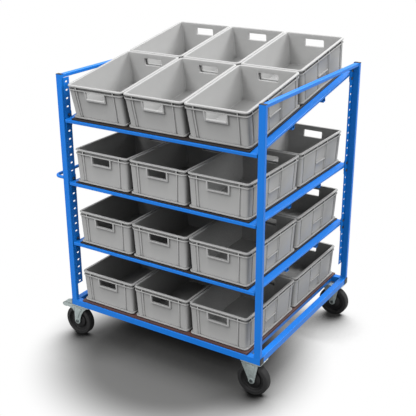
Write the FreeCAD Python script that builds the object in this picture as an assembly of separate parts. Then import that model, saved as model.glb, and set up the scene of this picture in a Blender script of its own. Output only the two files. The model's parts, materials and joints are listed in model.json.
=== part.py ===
import FreeCAD, Part
import math
import os

# Order picking trolley in millimetres: +Z up, X along the front from the handle end, Y from front to rear.
# A welded tube base on four casters carries four uprights with slotted strips. Three shelves bolt to the
# strips, the top one tilted to the front, and every level holds two rows of three stacking containers.

# Containers
container_width = 400.0
container_length = 600.0
container_height = 210.0
container_columns = 3
container_rows = 2
column_gap = 4.0
row_gap = 6.0
rest_clearance = 0.3
rim_height = 8.0
rim_corner_radius = 26.0
flange_drop = 17.0
flange_height = 6.0
flange_inset = 2.0
wall_inset = 10.0
wall_thickness = 3.0
panel_raise = 5.0
foot_rise = 8.0
foot_height = 8.0
foot_inset = 2.0
floor_thickness = 4.0
hand_hole_width = 130.0
hand_hole_height = 46.0
hand_hole_radius = 8.0
hand_hole_frame = 8.0
corner_post_width = 50.0
end_rib_width = 5.0
groove_width = 14.0
label_panel_width = 130.0
label_ledge_height = 82.0

# Base frame and deck
side_margin = 91.0
end_margin = 12.0
base_tube = 40.0
base_tube_wall = 2.0
tube_corner_radius = 3.0
plug_flange = 3.0
plug_depth = 12.0
plug_clearance = 0.3
deck_thickness = 12.0
deck_side_inset = 86.0
deck_end_inset = 5.0

# Uprights, slotted strips and top rails
upright_width = 40.0
upright_depth = 25.0
upright_wall = 2.0
top_rail_width = 30.0
top_rail_height = 20.0
strip_thickness = 3.0
strip_width = 50.0
strip_overlap = 10.0
strip_bottom_margin = 15.0
strip_top_margin = 25.0
slot_length = 20.0
slot_height = 11.0
slot_pitch = 50.0
slot_count = 27
first_slot_rise = 126.0

# Shelves: each level names the lower slot of the two that hold its front and its rear ends
shelf_levels = [("lower", 5, 5), ("middle", 13, 13), ("top", 21, 25)]
beam_depth = 30.0
beam_height = 20.0
beam_inset = 4.0
side_rail_width = 60.0
side_rail_height = 15.0
cross_support_depth = 30.0
cross_support_drop = 25.0
cross_support_offset = 200.0
cross_support_end_gap = 4.0
shelf_tube_wall = 2.0
board_thickness = 8.0
board_side_inset = 92.0
board_end_inset = 8.0
end_plate_thickness = 3.0
end_plate_width = 50.0
end_plate_height = 90.0
shelf_bolt_diameter = 10.0
shelf_bolt_hole = 11.0
shelf_bolt_head_across = 17.0
shelf_bolt_head_height = 6.5
shelf_nut_height = 8.0
shelf_bolt_tail = 3.0
nut_thread_clearance = 0.05

# Push handle
handle_diameter = 20.0
handle_height = 1100.0
handle_reach = 75.0
handle_bend_radius = 40.0

# Casters
wheel_diameter = 200.0
wheel_width = 50.0
tyre_shoulder = 9.0
rim_diameter = 140.0
rim_width = 44.0
hub_diameter = 46.0
web_thickness = 20.0
web_groove_inner_diameter = 90.0
web_groove_outer_diameter = 124.0
tyre_seat_clearance = 0.05
axle_diameter = 12.0
axle_running_clearance = 0.05
axle_hole_clearance = 0.1
axle_head_across = 19.0
axle_head_height = 7.0
axle_tail = 3.0
fork_gap = 58.0
fork_thickness = 4.0
fork_end_radius = 21.0
fork_shoulder_width = 130.0
fork_shoulder_drop = 24.0
fork_sweep = 9.0
hub_side_clearance = 0.3
wheel_to_crown = 10.0
crown_thickness = 5.0
crown_radius = 45.0
race_height = 10.0
race_diameter = 72.0
race_clearance = 0.3
king_pin_diameter = 16.0
king_pin_clearance = 0.05
king_pin_head_diameter = 28.0
king_pin_head_height = 6.0
caster_trail = 50.0
caster_inset = 65.0
plate_length = 135.0
plate_width = 105.0
plate_thickness = 5.0
plate_hole_spacing_x = 105.0
plate_hole_spacing_y = 85.0
caster_bolt_diameter = 8.0
caster_bolt_hole = 9.0
caster_bolt_head_across = 13.0
caster_bolt_head_height = 5.3
caster_bolt_length = 20.0

# Brake pedals on the swivel casters
pedal_pivot_offset = 85.0
pedal_pivot_drop = 9.0
pedal_ear_radius = 9.0
pedal_pin_diameter = 6.0
pedal_pin_clearance = 0.05
pedal_hub_radius = 6.5
pedal_width = 50.0
pedal_sheet = 4.0
pedal_reach = 92.0
pedal_crest_share = 0.35
pedal_flat_share = 0.65
pedal_slope_share = 0.92
pedal_rise = 7.5
pedal_flat_drop = 2.0
pedal_slope_drop = 4.0
pedal_lip_drop = 14.0
pedal_cheek_drop = 22.0
brake_pad_width = 40.0
brake_pad_length = 12.0
brake_pad_clearance = 1.4

# Worked out from the sizes above
frame_width = container_columns * container_width + (container_columns - 1) * column_gap + 2 * side_margin
frame_depth = container_rows * container_length + (container_rows - 1) * row_gap + 2 * end_margin
axle_height = wheel_diameter / 2
crown_bottom = wheel_diameter + wheel_to_crown
crown_top = crown_bottom + crown_thickness
plate_bottom = crown_top + race_height
base_bottom = plate_bottom + plate_thickness
base_top = base_bottom + base_tube
deck_top = base_top + deck_thickness
first_slot_height = base_top + first_slot_rise
strip_bottom = first_slot_height - strip_bottom_margin
strip_top = first_slot_height + (slot_count - 1) * slot_pitch + strip_top_margin
upright_top = strip_top + top_rail_height
strip_front = upright_depth - strip_overlap
slot_line = strip_front + strip_width / 2
strip_inner = upright_width + strip_thickness
shelf_side = strip_inner + end_plate_thickness
board_seat = beam_height / 2
board_top = board_seat + board_thickness
rail_bottom = board_seat - side_rail_height
caster_line = plate_width / 2
deck_support_line = caster_inset + plate_hole_spacing_x / 2
fork_outside = fork_gap / 2 + fork_thickness
pedal_pivot_height = crown_top - pedal_pivot_drop
hub_length = fork_gap - 2 * hub_side_clearance

X_AXIS = FreeCAD.Vector(1, 0, 0)
Y_AXIS = FreeCAD.Vector(0, 1, 0)
Z_AXIS = FreeCAD.Vector(0, 0, 1)


def point(x, y, z):
    return FreeCAD.Vector(x, y, z)


def box(x0, x1, y0, y1, z0, z1):
    return Part.makeBox(x1 - x0, y1 - y0, z1 - z0, point(x0, y0, z0))


def cylinder(radius, start, direction, length):
    return Part.makeCylinder(radius, length, start, direction)


def edges_along(shape, axis):
    found = []
    for edge in shape.Edges:
        direction = edge.Vertexes[-1].Point.sub(edge.Vertexes[0].Point)
        if abs(direction.dot(axis)) > 0.999 * direction.Length:
            found.append(edge)
    return found


def tube(x0, x1, y0, y1, z0, z1, axis, wall):
    outer = box(x0, x1, y0, y1, z0, z1)
    outer = outer.makeFillet(tube_corner_radius, edges_along(outer, axis))
    wall_x = 0.0 if axis is X_AXIS else wall
    wall_y = 0.0 if axis is Y_AXIS else wall
    wall_z = 0.0 if axis is Z_AXIS else wall
    inner = box(x0 + wall_x, x1 - wall_x, y0 + wall_y, y1 - wall_y, z0 + wall_z, z1 - wall_z)
    return outer.cut(inner)


def rounded_block(width, length, radius, z0, z1):
    block = box(-width / 2, width / 2, -length / 2, length / 2, z0, z1)
    return block.makeFillet(radius, edges_along(block, Z_AXIS))


def hexagon(across, start, direction, height, turn):
    # Hexagonal prism along X, Y or Z with its flats turned by the given angle
    radius = across / math.sqrt(3)
    corners = []
    for step in range(7):
        angle = math.radians(60 * step + turn)
        corners.append(point(radius * math.cos(angle), radius * math.sin(angle), 0))
    prism = Part.Face(Part.makePolygon(corners)).extrude(point(0, 0, height))
    prism.Placement = FreeCAD.Placement(start, FreeCAD.Rotation(Z_AXIS, direction))
    return prism


def mirror_x(shape):
    return shape.mirror(point(frame_width / 2, 0, 0), X_AXIS)


def mirror_y(shape):
    return shape.mirror(point(0, frame_depth / 2, 0), Y_AXIS)


def both_sides(shape):
    return [shape, mirror_x(shape)]


def both_ends(shape):
    return [shape, mirror_y(shape)]


def four_corners(shape):
    return both_ends(shape) + both_ends(mirror_x(shape))


# Containers

def panel_grooves():
    # Cutters that leave raised corner posts, end ribs and side panels on the container's wall
    half_width = container_width / 2
    half_length = container_length / 2
    flange_bottom = container_height - flange_drop - flange_height
    foot_top = foot_rise + foot_height
    bay = half_width - corner_post_width
    rib = bay - groove_width
    side_post = half_length - corner_post_width
    label = label_panel_width / 2
    end_bays = [(-rib + end_rib_width, rib - end_rib_width), (rib, bay), (-bay, -rib)]
    side_bays = [(label, label + groove_width), (side_post - groove_width, side_post)]
    cutters = []
    for end in (-1, 1):
        near = end * (half_length - corner_post_width)
        far = end * half_length
        for x0, x1 in end_bays:
            cutters.append(box(x0, x1, min(near, far), max(near, far), foot_top, flange_bottom))
    for side in (-1, 1):
        near = side * (half_width - corner_post_width)
        far = side * half_width
        x0 = min(near, far)
        x1 = max(near, far)
        for y0, y1 in side_bays:
            cutters.append(box(x0, x1, y0, y1, foot_top, flange_bottom))
            cutters.append(box(x0, x1, -y1, -y0, foot_top, flange_bottom))
        cutters.append(box(x0, x1, -label, label, foot_top, label_ledge_height))
    return cutters


def rim_stiffeners():
    # Short webs between the rim and the lower flange, in line with the corner posts
    z0 = container_height - flange_drop
    z1 = container_height - rim_height
    half_width = container_width / 2
    half_length = container_length / 2
    reach_x = half_width - flange_inset
    reach_y = half_length - flange_inset
    x_web = half_width - corner_post_width
    y_web = half_length - corner_post_width
    webs = []
    for side in (-1, 1):
        x0 = side * x_web - end_rib_width / 2
        y0 = side * y_web - end_rib_width / 2
        webs.append(box(x0, x0 + end_rib_width, -reach_y, reach_y, z0, z1))
        webs.append(box(-reach_x, reach_x, y0, y0 + end_rib_width, z0, z1))
    return webs


def hand_hole_cut(width, height, z_top, radius):
    cut = box(-width / 2, width / 2, -container_length, container_length, z_top - height, z_top)
    return cut.makeFillet(radius, edges_along(cut, Y_AXIS))


def make_container():
    wall_width = container_width - 2 * wall_inset
    wall_length = container_length - 2 * wall_inset
    wall_radius = rim_corner_radius - wall_inset / 2
    flange_top = container_height - flange_drop
    flange_bottom = flange_top - flange_height
    flange_width = container_width - 2 * flange_inset
    flange_length = container_length - 2 * flange_inset
    foot_width = container_width - 2 * foot_inset
    foot_length = container_length - 2 * foot_inset
    foot_top = foot_rise + foot_height
    panel_width = wall_width + 2 * panel_raise
    panel_length = wall_length + 2 * panel_raise
    cavity_width = wall_width - 2 * wall_thickness
    cavity_length = wall_length - 2 * wall_thickness

    wall = rounded_block(wall_width, wall_length, wall_radius, 0, container_height)
    panels = rounded_block(panel_width, panel_length, wall_radius, foot_top, flange_bottom)
    panels = panels.cut(panel_grooves())
    frame_width_outer = hand_hole_width + 2 * hand_hole_frame
    frame_bottom = flange_bottom - hand_hole_height - hand_hole_frame
    frame = box(-frame_width_outer / 2, frame_width_outer / 2, -panel_length / 2, panel_length / 2,
                frame_bottom, flange_bottom)
    rim = rounded_block(container_width, container_length, rim_corner_radius,
                        container_height - rim_height, container_height)
    flange = rounded_block(flange_width, flange_length, rim_corner_radius, flange_bottom, flange_top)
    foot = rounded_block(foot_width, foot_length, rim_corner_radius, foot_rise, foot_top)
    cavity = rounded_block(cavity_width, cavity_length, wall_radius - wall_thickness / 2,
                           floor_thickness, container_height + rim_height)
    hand_holes = hand_hole_cut(hand_hole_width, hand_hole_height, flange_bottom, hand_hole_radius)

    body = wall.fuse([panels, frame, rim, flange, foot] + rim_stiffeners())
    return body.cut([cavity, hand_holes]).removeSplitter()


def container_places(seat_height):
    # Lower middle point of each container of a level, front row first, from left to right
    places = []
    for row in range(container_rows):
        y = end_margin + container_length / 2 + row * (container_length + row_gap)
        for column in range(container_columns):
            x = side_margin + container_width / 2 + column * (container_width + column_gap)
            places.append(point(x, y, seat_height + rest_clearance))
    return places


# Base frame and deck

def caster_bolt_places():
    # Plan positions of the bolts of the left front caster
    places = []
    for dx in (-plate_hole_spacing_x / 2, plate_hole_spacing_x / 2):
        for dy in (-plate_hole_spacing_y / 2, plate_hole_spacing_y / 2):
            places.append((caster_inset + dx, caster_line + dy))
    return places


def bolt_holes_below():
    # Holes for all caster bolts through plates and the lower walls of the base tubes
    top = base_bottom + base_tube_wall + tube_corner_radius
    holes = []
    for x, y in caster_bolt_places():
        hole = cylinder(caster_bolt_hole / 2, point(x, y, plate_bottom), Z_AXIS, top - plate_bottom)
        holes += four_corners(hole)
    return holes


def bolt_notches():
    # Room in the left front end plug for the caster bolts, mirrored with it to the other corners
    height = plate_bottom + caster_bolt_length + caster_bolt_hole - base_bottom
    notches = []
    for x, y in caster_bolt_places():
        notches.append(cylinder(caster_bolt_hole / 2, point(x, y, base_bottom), Z_AXIS, height))
    return notches


def base_cross_tubes():
    front = tube(0, frame_width, 0, base_tube, base_bottom, base_top, X_AXIS, base_tube_wall)
    return [piece.cut(bolt_holes_below()) for piece in both_ends(front)]


def base_side_tubes():
    left = tube(0, base_tube, base_tube, frame_depth - base_tube, base_bottom, base_top, Y_AXIS,
                base_tube_wall)
    return [piece.cut(bolt_holes_below()) for piece in both_sides(left)]


def deck_supports():
    x0 = deck_support_line - base_tube / 2
    left = tube(x0, x0 + base_tube, base_tube, frame_depth - base_tube, base_bottom, base_top, Y_AXIS,
                base_tube_wall)
    return [piece.cut(bolt_holes_below()) for piece in both_sides(left)]


def deck_board():
    return [box(deck_side_inset, frame_width - deck_side_inset, deck_end_inset, frame_depth - deck_end_inset,
                base_top, deck_top)]


def tube_plugs():
    inset = base_tube_wall + plug_clearance
    end_flange = box(-plug_flange, 0, 0, base_tube, base_bottom, base_top)
    end_flange = end_flange.makeFillet(tube_corner_radius, edges_along(end_flange, X_AXIS))
    spigot = box(0, plug_depth, inset, base_tube - inset, base_bottom + inset, base_top - inset)
    end_plug = end_flange.fuse(spigot).cut(bolt_notches()).removeSplitter()

    inset = upright_wall + plug_clearance
    cap = box(0, upright_width, 0, upright_depth, upright_top, upright_top + plug_flange)
    cap = cap.makeFillet(tube_corner_radius, edges_along(cap, Z_AXIS))
    spigot = box(inset, upright_width - inset, inset, upright_depth - inset, upright_top - plug_depth,
                 upright_top)
    top_plug = cap.fuse(spigot).removeSplitter()
    return four_corners(end_plug) + four_corners(top_plug)


# Uprights, strips, top rails and handle

def uprights():
    post = tube(0, upright_width, 0, upright_depth, base_top, upright_top, Z_AXIS, upright_wall)
    return four_corners(post)


def perforated_strips():
    strip = box(upright_width, strip_inner, strip_front, strip_front + strip_width, strip_bottom, strip_top)
    straight = (slot_length - slot_height) / 2
    slots = []
    for index in range(slot_count):
        z = first_slot_height + index * slot_pitch
        slot = box(upright_width, strip_inner, slot_line - straight, slot_line + straight,
                   z - slot_height / 2, z + slot_height / 2)
        for y in (slot_line - straight, slot_line + straight):
            slot = slot.fuse(cylinder(slot_height / 2, point(upright_width, y, z), X_AXIS, strip_thickness))
        slots.append(slot.removeSplitter())
    return four_corners(strip.cut(slots))


def top_rails():
    x0 = (upright_width - top_rail_width) / 2
    rail = tube(x0, x0 + top_rail_width, upright_depth, frame_depth - upright_depth, strip_top, upright_top,
                Y_AXIS, upright_wall)
    return both_sides(rail)


def push_handle():
    # A bar bent twice, welded to the left uprights: legs along X and a grip along Y
    front = upright_depth / 2
    rear = frame_depth - upright_depth / 2
    bend = handle_bend_radius
    middle = bend * (1 - math.sqrt(0.5))
    z = handle_height
    knee = -handle_reach + bend
    leg_front = Part.LineSegment(point(0, front, z), point(knee, front, z))
    end = -handle_reach
    bend_front = Part.Arc(point(knee, front, z), point(end + middle, front + middle, z),
                          point(end, front + bend, z))
    grip = Part.LineSegment(point(end, front + bend, z), point(end, rear - bend, z))
    bend_rear = Part.Arc(point(end, rear - bend, z), point(end + middle, rear - middle, z),
                         point(knee, rear, z))
    leg_rear = Part.LineSegment(point(knee, rear, z), point(0, rear, z))
    path = Part.Wire([curve.toShape() for curve in (leg_front, bend_front, grip, bend_rear, leg_rear)])
    section = Part.Wire(Part.makeCircle(handle_diameter / 2, point(0, front, z), X_AXIS))
    return [path.makePipeShell([section], True, True)]


# Shelves, built flat about the middle plane of their beams and then set level or tilted

def shelf_frame(length):
    # Two beams, two flat side rails and two notched cross supports, with y from the shelf's middle
    half = length / 2
    right = frame_width - shelf_side
    rail_x = shelf_side + side_rail_width
    drop = rail_bottom - cross_support_drop
    wall = shelf_tube_wall
    pieces = []
    for front in (-half, half - beam_depth):
        pieces.append(tube(shelf_side, right, front, front + beam_depth, -board_seat, board_seat,
                           X_AXIS, wall))
    for x0 in (shelf_side, right - side_rail_width):
        pieces.append(tube(x0, x0 + side_rail_width, -half + beam_depth, half - beam_depth, rail_bottom,
                           board_seat, Y_AXIS, wall))
    for middle in (-cross_support_offset, cross_support_offset):
        y0 = middle - cross_support_depth / 2
        y1 = middle + cross_support_depth / 2
        low_x = shelf_side + cross_support_end_gap
        low = tube(low_x, frame_width - low_x, y0, y1, drop, rail_bottom, X_AXIS, wall)
        high = tube(rail_x, frame_width - rail_x, y0, y1, rail_bottom, board_seat, X_AXIS, wall)
        pieces.append(low)
        pieces.append(high)
    return pieces


def shelf_board(length):
    half = length / 2 - board_end_inset
    return box(board_side_inset, frame_width - board_side_inset, -half, half, board_seat, board_top)


def slot_height_of(index):
    return first_slot_height + (index + 0.5) * slot_pitch


def shelf_placement(front_slot, rear_slot):
    front_z = slot_height_of(front_slot)
    rear_z = slot_height_of(rear_slot)
    span = frame_depth - 2 * slot_line
    tilt = math.degrees(math.atan2(rear_z - front_z, span))
    middle = point(0, frame_depth / 2, (front_z + rear_z) / 2)
    return FreeCAD.Placement(middle, FreeCAD.Rotation(X_AXIS, tilt)), math.radians(tilt)


def shelf_length(tilt):
    return (frame_depth - 2 * beam_inset) / math.cos(tilt)


def placed(shape, placement):
    result = shape.copy()
    result.Placement = placement.multiply(result.Placement)
    return result


def shelf_corner_heights():
    # Middle height of each pair of shelf slots, with True for the pairs at the rear
    heights = []
    for name, front_slot, rear_slot in shelf_levels:
        heights.append((slot_height_of(front_slot), False))
        heights.append((slot_height_of(rear_slot), True))
    return heights


def shelf_end_plates():
    plates = []
    for middle, at_rear in shelf_corner_heights():
        plate = box(strip_inner, shelf_side, slot_line - end_plate_width / 2, slot_line + end_plate_width / 2,
                    middle - end_plate_height / 2, middle + end_plate_height / 2)
        for z in (middle - slot_pitch / 2, middle + slot_pitch / 2):
            plate = plate.cut(cylinder(shelf_bolt_hole / 2, point(strip_inner, slot_line, z), X_AXIS,
                                       end_plate_thickness))
        plates += both_sides(mirror_y(plate) if at_rear else plate)
    return plates


def shelf_bolts():
    shank = shelf_side - upright_width + shelf_nut_height + shelf_bolt_tail
    bore = shelf_bolt_diameter / 2 + nut_thread_clearance
    pieces = []
    for middle, at_rear in shelf_corner_heights():
        for z in (middle - slot_pitch / 2, middle + slot_pitch / 2):
            seat = point(upright_width, slot_line, z)
            head = hexagon(shelf_bolt_head_across, seat, point(-1, 0, 0), shelf_bolt_head_height, 30)
            bolt = head.fuse(cylinder(shelf_bolt_diameter / 2, seat, X_AXIS, shank)).removeSplitter()
            nut_seat = point(shelf_side, slot_line, z)
            nut = hexagon(shelf_bolt_head_across, nut_seat, X_AXIS, shelf_nut_height, 30)
            nut = nut.cut(cylinder(bore, nut_seat, X_AXIS, shelf_nut_height))
            for piece in (bolt, nut):
                pieces += both_sides(mirror_y(piece) if at_rear else piece)
    return pieces


# Casters, each built at the left front or right front corner and mirrored to the rear

def caster_bolts():
    pieces = []
    for x, y in caster_bolt_places():
        seat = point(x, y, plate_bottom)
        head = hexagon(caster_bolt_head_across, seat, point(0, 0, -1), caster_bolt_head_height, 0)
        shank = cylinder(caster_bolt_diameter / 2, seat, Z_AXIS, caster_bolt_length)
        pieces += four_corners(head.fuse(shank).removeSplitter())
    return pieces


def top_plate(x_middle):
    half = plate_length / 2
    plate = box(x_middle - half, x_middle + half, 0, plate_width, plate_bottom, base_bottom)
    return plate.cut(bolt_holes_below())


def fork_leg(outline, y_inside):
    # A flat leg from its outline in X and Z, with its inner face at the given y
    edges = [curve.toShape() for curve in outline]
    face = Part.Face(Part.Wire(edges))
    outward = -1 if y_inside < caster_line else 1
    return face.extrude(point(0, outward * fork_thickness, 0))


def tangent_point(outside, centre, radius, side):
    # Where a line from a point outside a circle in X and Z touches it
    dx = outside[0] - centre[0]
    dz = outside[1] - centre[1]
    angle = math.atan2(dz, dx) + side * math.acos(radius / math.hypot(dx, dz))
    return (centre[0] + radius * math.cos(angle), centre[1] + radius * math.sin(angle))


def straight_outline(corners):
    # Straight sides of a leg, from round its end up over its top and down again
    return [Part.LineSegment(start, end) for start, end in zip(corners, corners[1:])]


def axle_hole(x):
    radius = axle_diameter / 2 + axle_hole_clearance
    return cylinder(radius, point(x, caster_line - fork_outside, axle_height), Y_AXIS, 2 * fork_outside)


def fixed_leg_outline(x, y):
    # Upright shoulders under the plate, then straight sides down to the rounded end
    centre = (x, axle_height)
    half = fork_shoulder_width / 2
    shoulder = plate_bottom - fork_shoulder_drop
    left_touch = tangent_point((x - half, shoulder), centre, fork_end_radius, 1)
    right_touch = tangent_point((x + half, shoulder), centre, fork_end_radius, -1)
    corners = [point(left_touch[0], y, left_touch[1]), point(x - half, y, shoulder),
               point(x - half, y, plate_bottom), point(x + half, y, plate_bottom),
               point(x + half, y, shoulder), point(right_touch[0], y, right_touch[1])]
    low = point(x, y, axle_height - fork_end_radius)
    return straight_outline(corners) + [Part.Arc(corners[-1], low, corners[0])]


def fixed_fork():
    x = frame_width - caster_inset
    fork = top_plate(x)
    for y in (caster_line - fork_gap / 2, caster_line + fork_gap / 2):
        fork = fork.fuse(fork_leg(fixed_leg_outline(x, y), y))
    return fork.cut(axle_hole(x)).removeSplitter()


def swivel_wheel_x():
    return caster_inset - caster_trail


def pedal_pivot_x():
    return caster_inset - pedal_pivot_offset


def swivel_leg_outline(x, y):
    # An upright outer side, and an inner side that sweeps from the crown down to the rounded end
    shoulder = caster_inset + math.sqrt(crown_radius ** 2 - fork_outside ** 2)
    radius = fork_end_radius
    corners = [point(x - radius, y, axle_height), point(x - radius, y, crown_top),
               point(shoulder, y, crown_top), point(shoulder, y, crown_bottom)]
    middle = point((shoulder + x + radius) / 2 - fork_sweep, y, (crown_bottom + axle_height) / 2 + fork_sweep)
    touch = point(x + radius, y, axle_height)
    low = point(x, y, axle_height - radius)
    sweep = Part.Arc(corners[-1], middle, touch)
    return straight_outline(corners) + [sweep, Part.Arc(touch, low, corners[0])]


def swivel_fork():
    x = swivel_wheel_x()
    disc = cylinder(crown_radius, point(caster_inset, caster_line, crown_bottom), Z_AXIS, crown_thickness)
    band = box(caster_inset - crown_radius, caster_inset + crown_radius, caster_line - fork_outside,
               caster_line + fork_outside, crown_bottom, crown_top)
    fork = disc.common(band)
    for y in (caster_line - fork_gap / 2, caster_line + fork_gap / 2):
        fork = fork.fuse(fork_leg(swivel_leg_outline(x, y), y))
        outer = y - fork_thickness if y < caster_line else y
        pivot = point(pedal_pivot_x(), outer, pedal_pivot_height)
        ear_end = cylinder(pedal_ear_radius, pivot, Y_AXIS, fork_thickness)
        ear = box(pedal_pivot_x(), x, outer, outer + fork_thickness, pedal_pivot_height - pedal_ear_radius,
                  pedal_pivot_height + pedal_ear_radius)
        fork = fork.fuse([ear, ear_end])
    king_pin_hole = cylinder(king_pin_diameter / 2 + king_pin_clearance,
                             point(caster_inset, caster_line, crown_bottom), Z_AXIS, crown_thickness)
    pin_hole = cylinder(pedal_pin_diameter / 2 + pedal_pin_clearance,
                        point(pedal_pivot_x(), caster_line - fork_outside, pedal_pivot_height), Y_AXIS,
                        2 * fork_outside)
    return fork.cut([axle_hole(x), king_pin_hole, pin_hole]).removeSplitter()


def pedal_pin():
    return cylinder(pedal_pin_diameter / 2,
                    point(pedal_pivot_x(), caster_line - fork_outside, pedal_pivot_height), Y_AXIS,
                    2 * fork_outside)


def swivel_plate():
    # Top plate with its king pin, whose riveted head keeps the crown from dropping
    head_top = crown_bottom - race_clearance
    pin = cylinder(king_pin_diameter / 2, point(caster_inset, caster_line, head_top), Z_AXIS,
                   plate_bottom - head_top)
    head = cylinder(king_pin_head_diameter / 2,
                    point(caster_inset, caster_line, head_top - king_pin_head_height), Z_AXIS,
                    king_pin_head_height)
    return top_plate(caster_inset).fuse([pin, head]).removeSplitter()


def swivel_race():
    bottom = crown_top + race_clearance
    height = plate_bottom - bottom
    start = point(caster_inset, caster_line, bottom)
    ring = cylinder(race_diameter / 2, start, Z_AXIS, height)
    return ring.cut(cylinder(king_pin_diameter / 2 + king_pin_clearance, start, Z_AXIS, height))


def axle(x):
    # Bolt with its head at the front and a nut at the rear
    front = caster_line - fork_outside
    rear = caster_line + fork_outside
    seat = point(x, front, axle_height)
    nut_seat = point(x, rear, axle_height)
    shank = cylinder(axle_diameter / 2, seat, Y_AXIS, 2 * fork_outside + axle_head_height + axle_tail)
    head = hexagon(axle_head_across, seat, point(0, -1, 0), axle_head_height, 0)
    nut = hexagon(axle_head_across, nut_seat, Y_AXIS, axle_head_height, 0)
    nut = nut.cut(cylinder(axle_diameter / 2 + nut_thread_clearance, nut_seat, Y_AXIS, axle_head_height))
    return [head.fuse(shank).removeSplitter(), nut]


def turned(profile, x):
    # Solid of revolution about a caster's axle from (radius, offset along the axle) points
    points = [point(x + radius, caster_line + offset, axle_height) for radius, offset in profile]
    face = Part.Face(Part.makePolygon(points + [points[0]]))
    return face.revolve(point(x, caster_line, axle_height), Y_AXIS, 360)


def tyre(x):
    outer = wheel_diameter / 2
    inner = rim_diameter / 2 + tyre_seat_clearance
    half = wheel_width / 2
    ring = turned([(inner, -half), (outer, -half), (outer, half), (inner, half)], x)
    shoulders = []
    for edge in ring.Edges:
        if isinstance(edge.Curve, Part.Circle) and edge.Curve.Radius > rim_diameter / 2 + tyre_shoulder:
            shoulders.append(edge)
    return ring.makeFillet(tyre_shoulder, shoulders)


def wheel_rim(x):
    bore = axle_diameter / 2 + axle_running_clearance
    hub = hub_diameter / 2
    outer = rim_diameter / 2
    hub_half = hub_length / 2
    rim_half = rim_width / 2
    web_half = web_thickness / 2
    groove_inner = web_groove_inner_diameter / 2
    groove_outer = web_groove_outer_diameter / 2
    side = [(bore, hub_half), (hub, hub_half), (hub, rim_half), (groove_inner, rim_half),
            (groove_inner, web_half), (groove_outer, web_half), (groove_outer, rim_half), (outer, rim_half)]
    other = [(radius, -offset) for radius, offset in reversed(side)]
    return turned(side + other, x)


def pedal_outline():
    # Points of the pedal sheet's upper face, from over the pivot out to its turned down lip
    x = pedal_pivot_x()
    z = pedal_pivot_height
    return [(x, z + pedal_hub_radius), (x - pedal_reach * pedal_crest_share, z + pedal_rise),
            (x - pedal_reach * pedal_flat_share, z + pedal_rise - pedal_flat_drop),
            (x - pedal_reach * pedal_slope_share, z - pedal_slope_drop),
            (x - pedal_reach, z - pedal_lip_drop)]


def pedal_slab(outline, y, depth):
    points = [point(px, y, pz) for px, pz in outline]
    return Part.Face(Part.makePolygon(points + [points[0]])).extrude(point(0, depth, 0))


def pedal_sheets():
    # The tread and the two cheeks that turn down along its sides
    x = pedal_pivot_x()
    z = pedal_pivot_height
    front = caster_line - pedal_width / 2
    upper = pedal_outline()
    lower = [(px, pz - pedal_sheet) for px, pz in upper[:3]]
    lower += [(px + pedal_sheet, pz - pedal_sheet / 2) for px, pz in upper[3:]]
    cheek = upper + [(x - pedal_reach * pedal_flat_share, z - pedal_cheek_drop), (x, z - pedal_hub_radius)]
    tread = pedal_slab(upper + list(reversed(lower)), front, pedal_width)
    near_cheek = pedal_slab(cheek, front, pedal_sheet)
    far_cheek = pedal_slab(cheek, front + pedal_width - pedal_sheet, pedal_sheet)
    return tread.fuse([near_cheek, far_cheek])


def brake_pedal():
    # Sheet lever on a hub round the pin, with a brake pad that hangs over the tyre
    x = pedal_pivot_x()
    z = pedal_pivot_height
    front = caster_line - pedal_width / 2
    hub = cylinder(pedal_hub_radius, point(x, front, z), Y_AXIS, pedal_width)
    offset = x - swivel_wheel_x()
    tyre_top = axle_height + math.sqrt((wheel_diameter / 2) ** 2 - offset ** 2)
    pad = box(x - brake_pad_length, x, caster_line - brake_pad_width / 2, caster_line + brake_pad_width / 2,
              tyre_top + brake_pad_clearance, z)
    pin_hole = cylinder(pedal_pin_diameter / 2 + pedal_pin_clearance, point(x, front, z), Y_AXIS, pedal_width)
    return pedal_sheets().fuse([hub, pad]).cut(pin_hole).removeSplitter()


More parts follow.
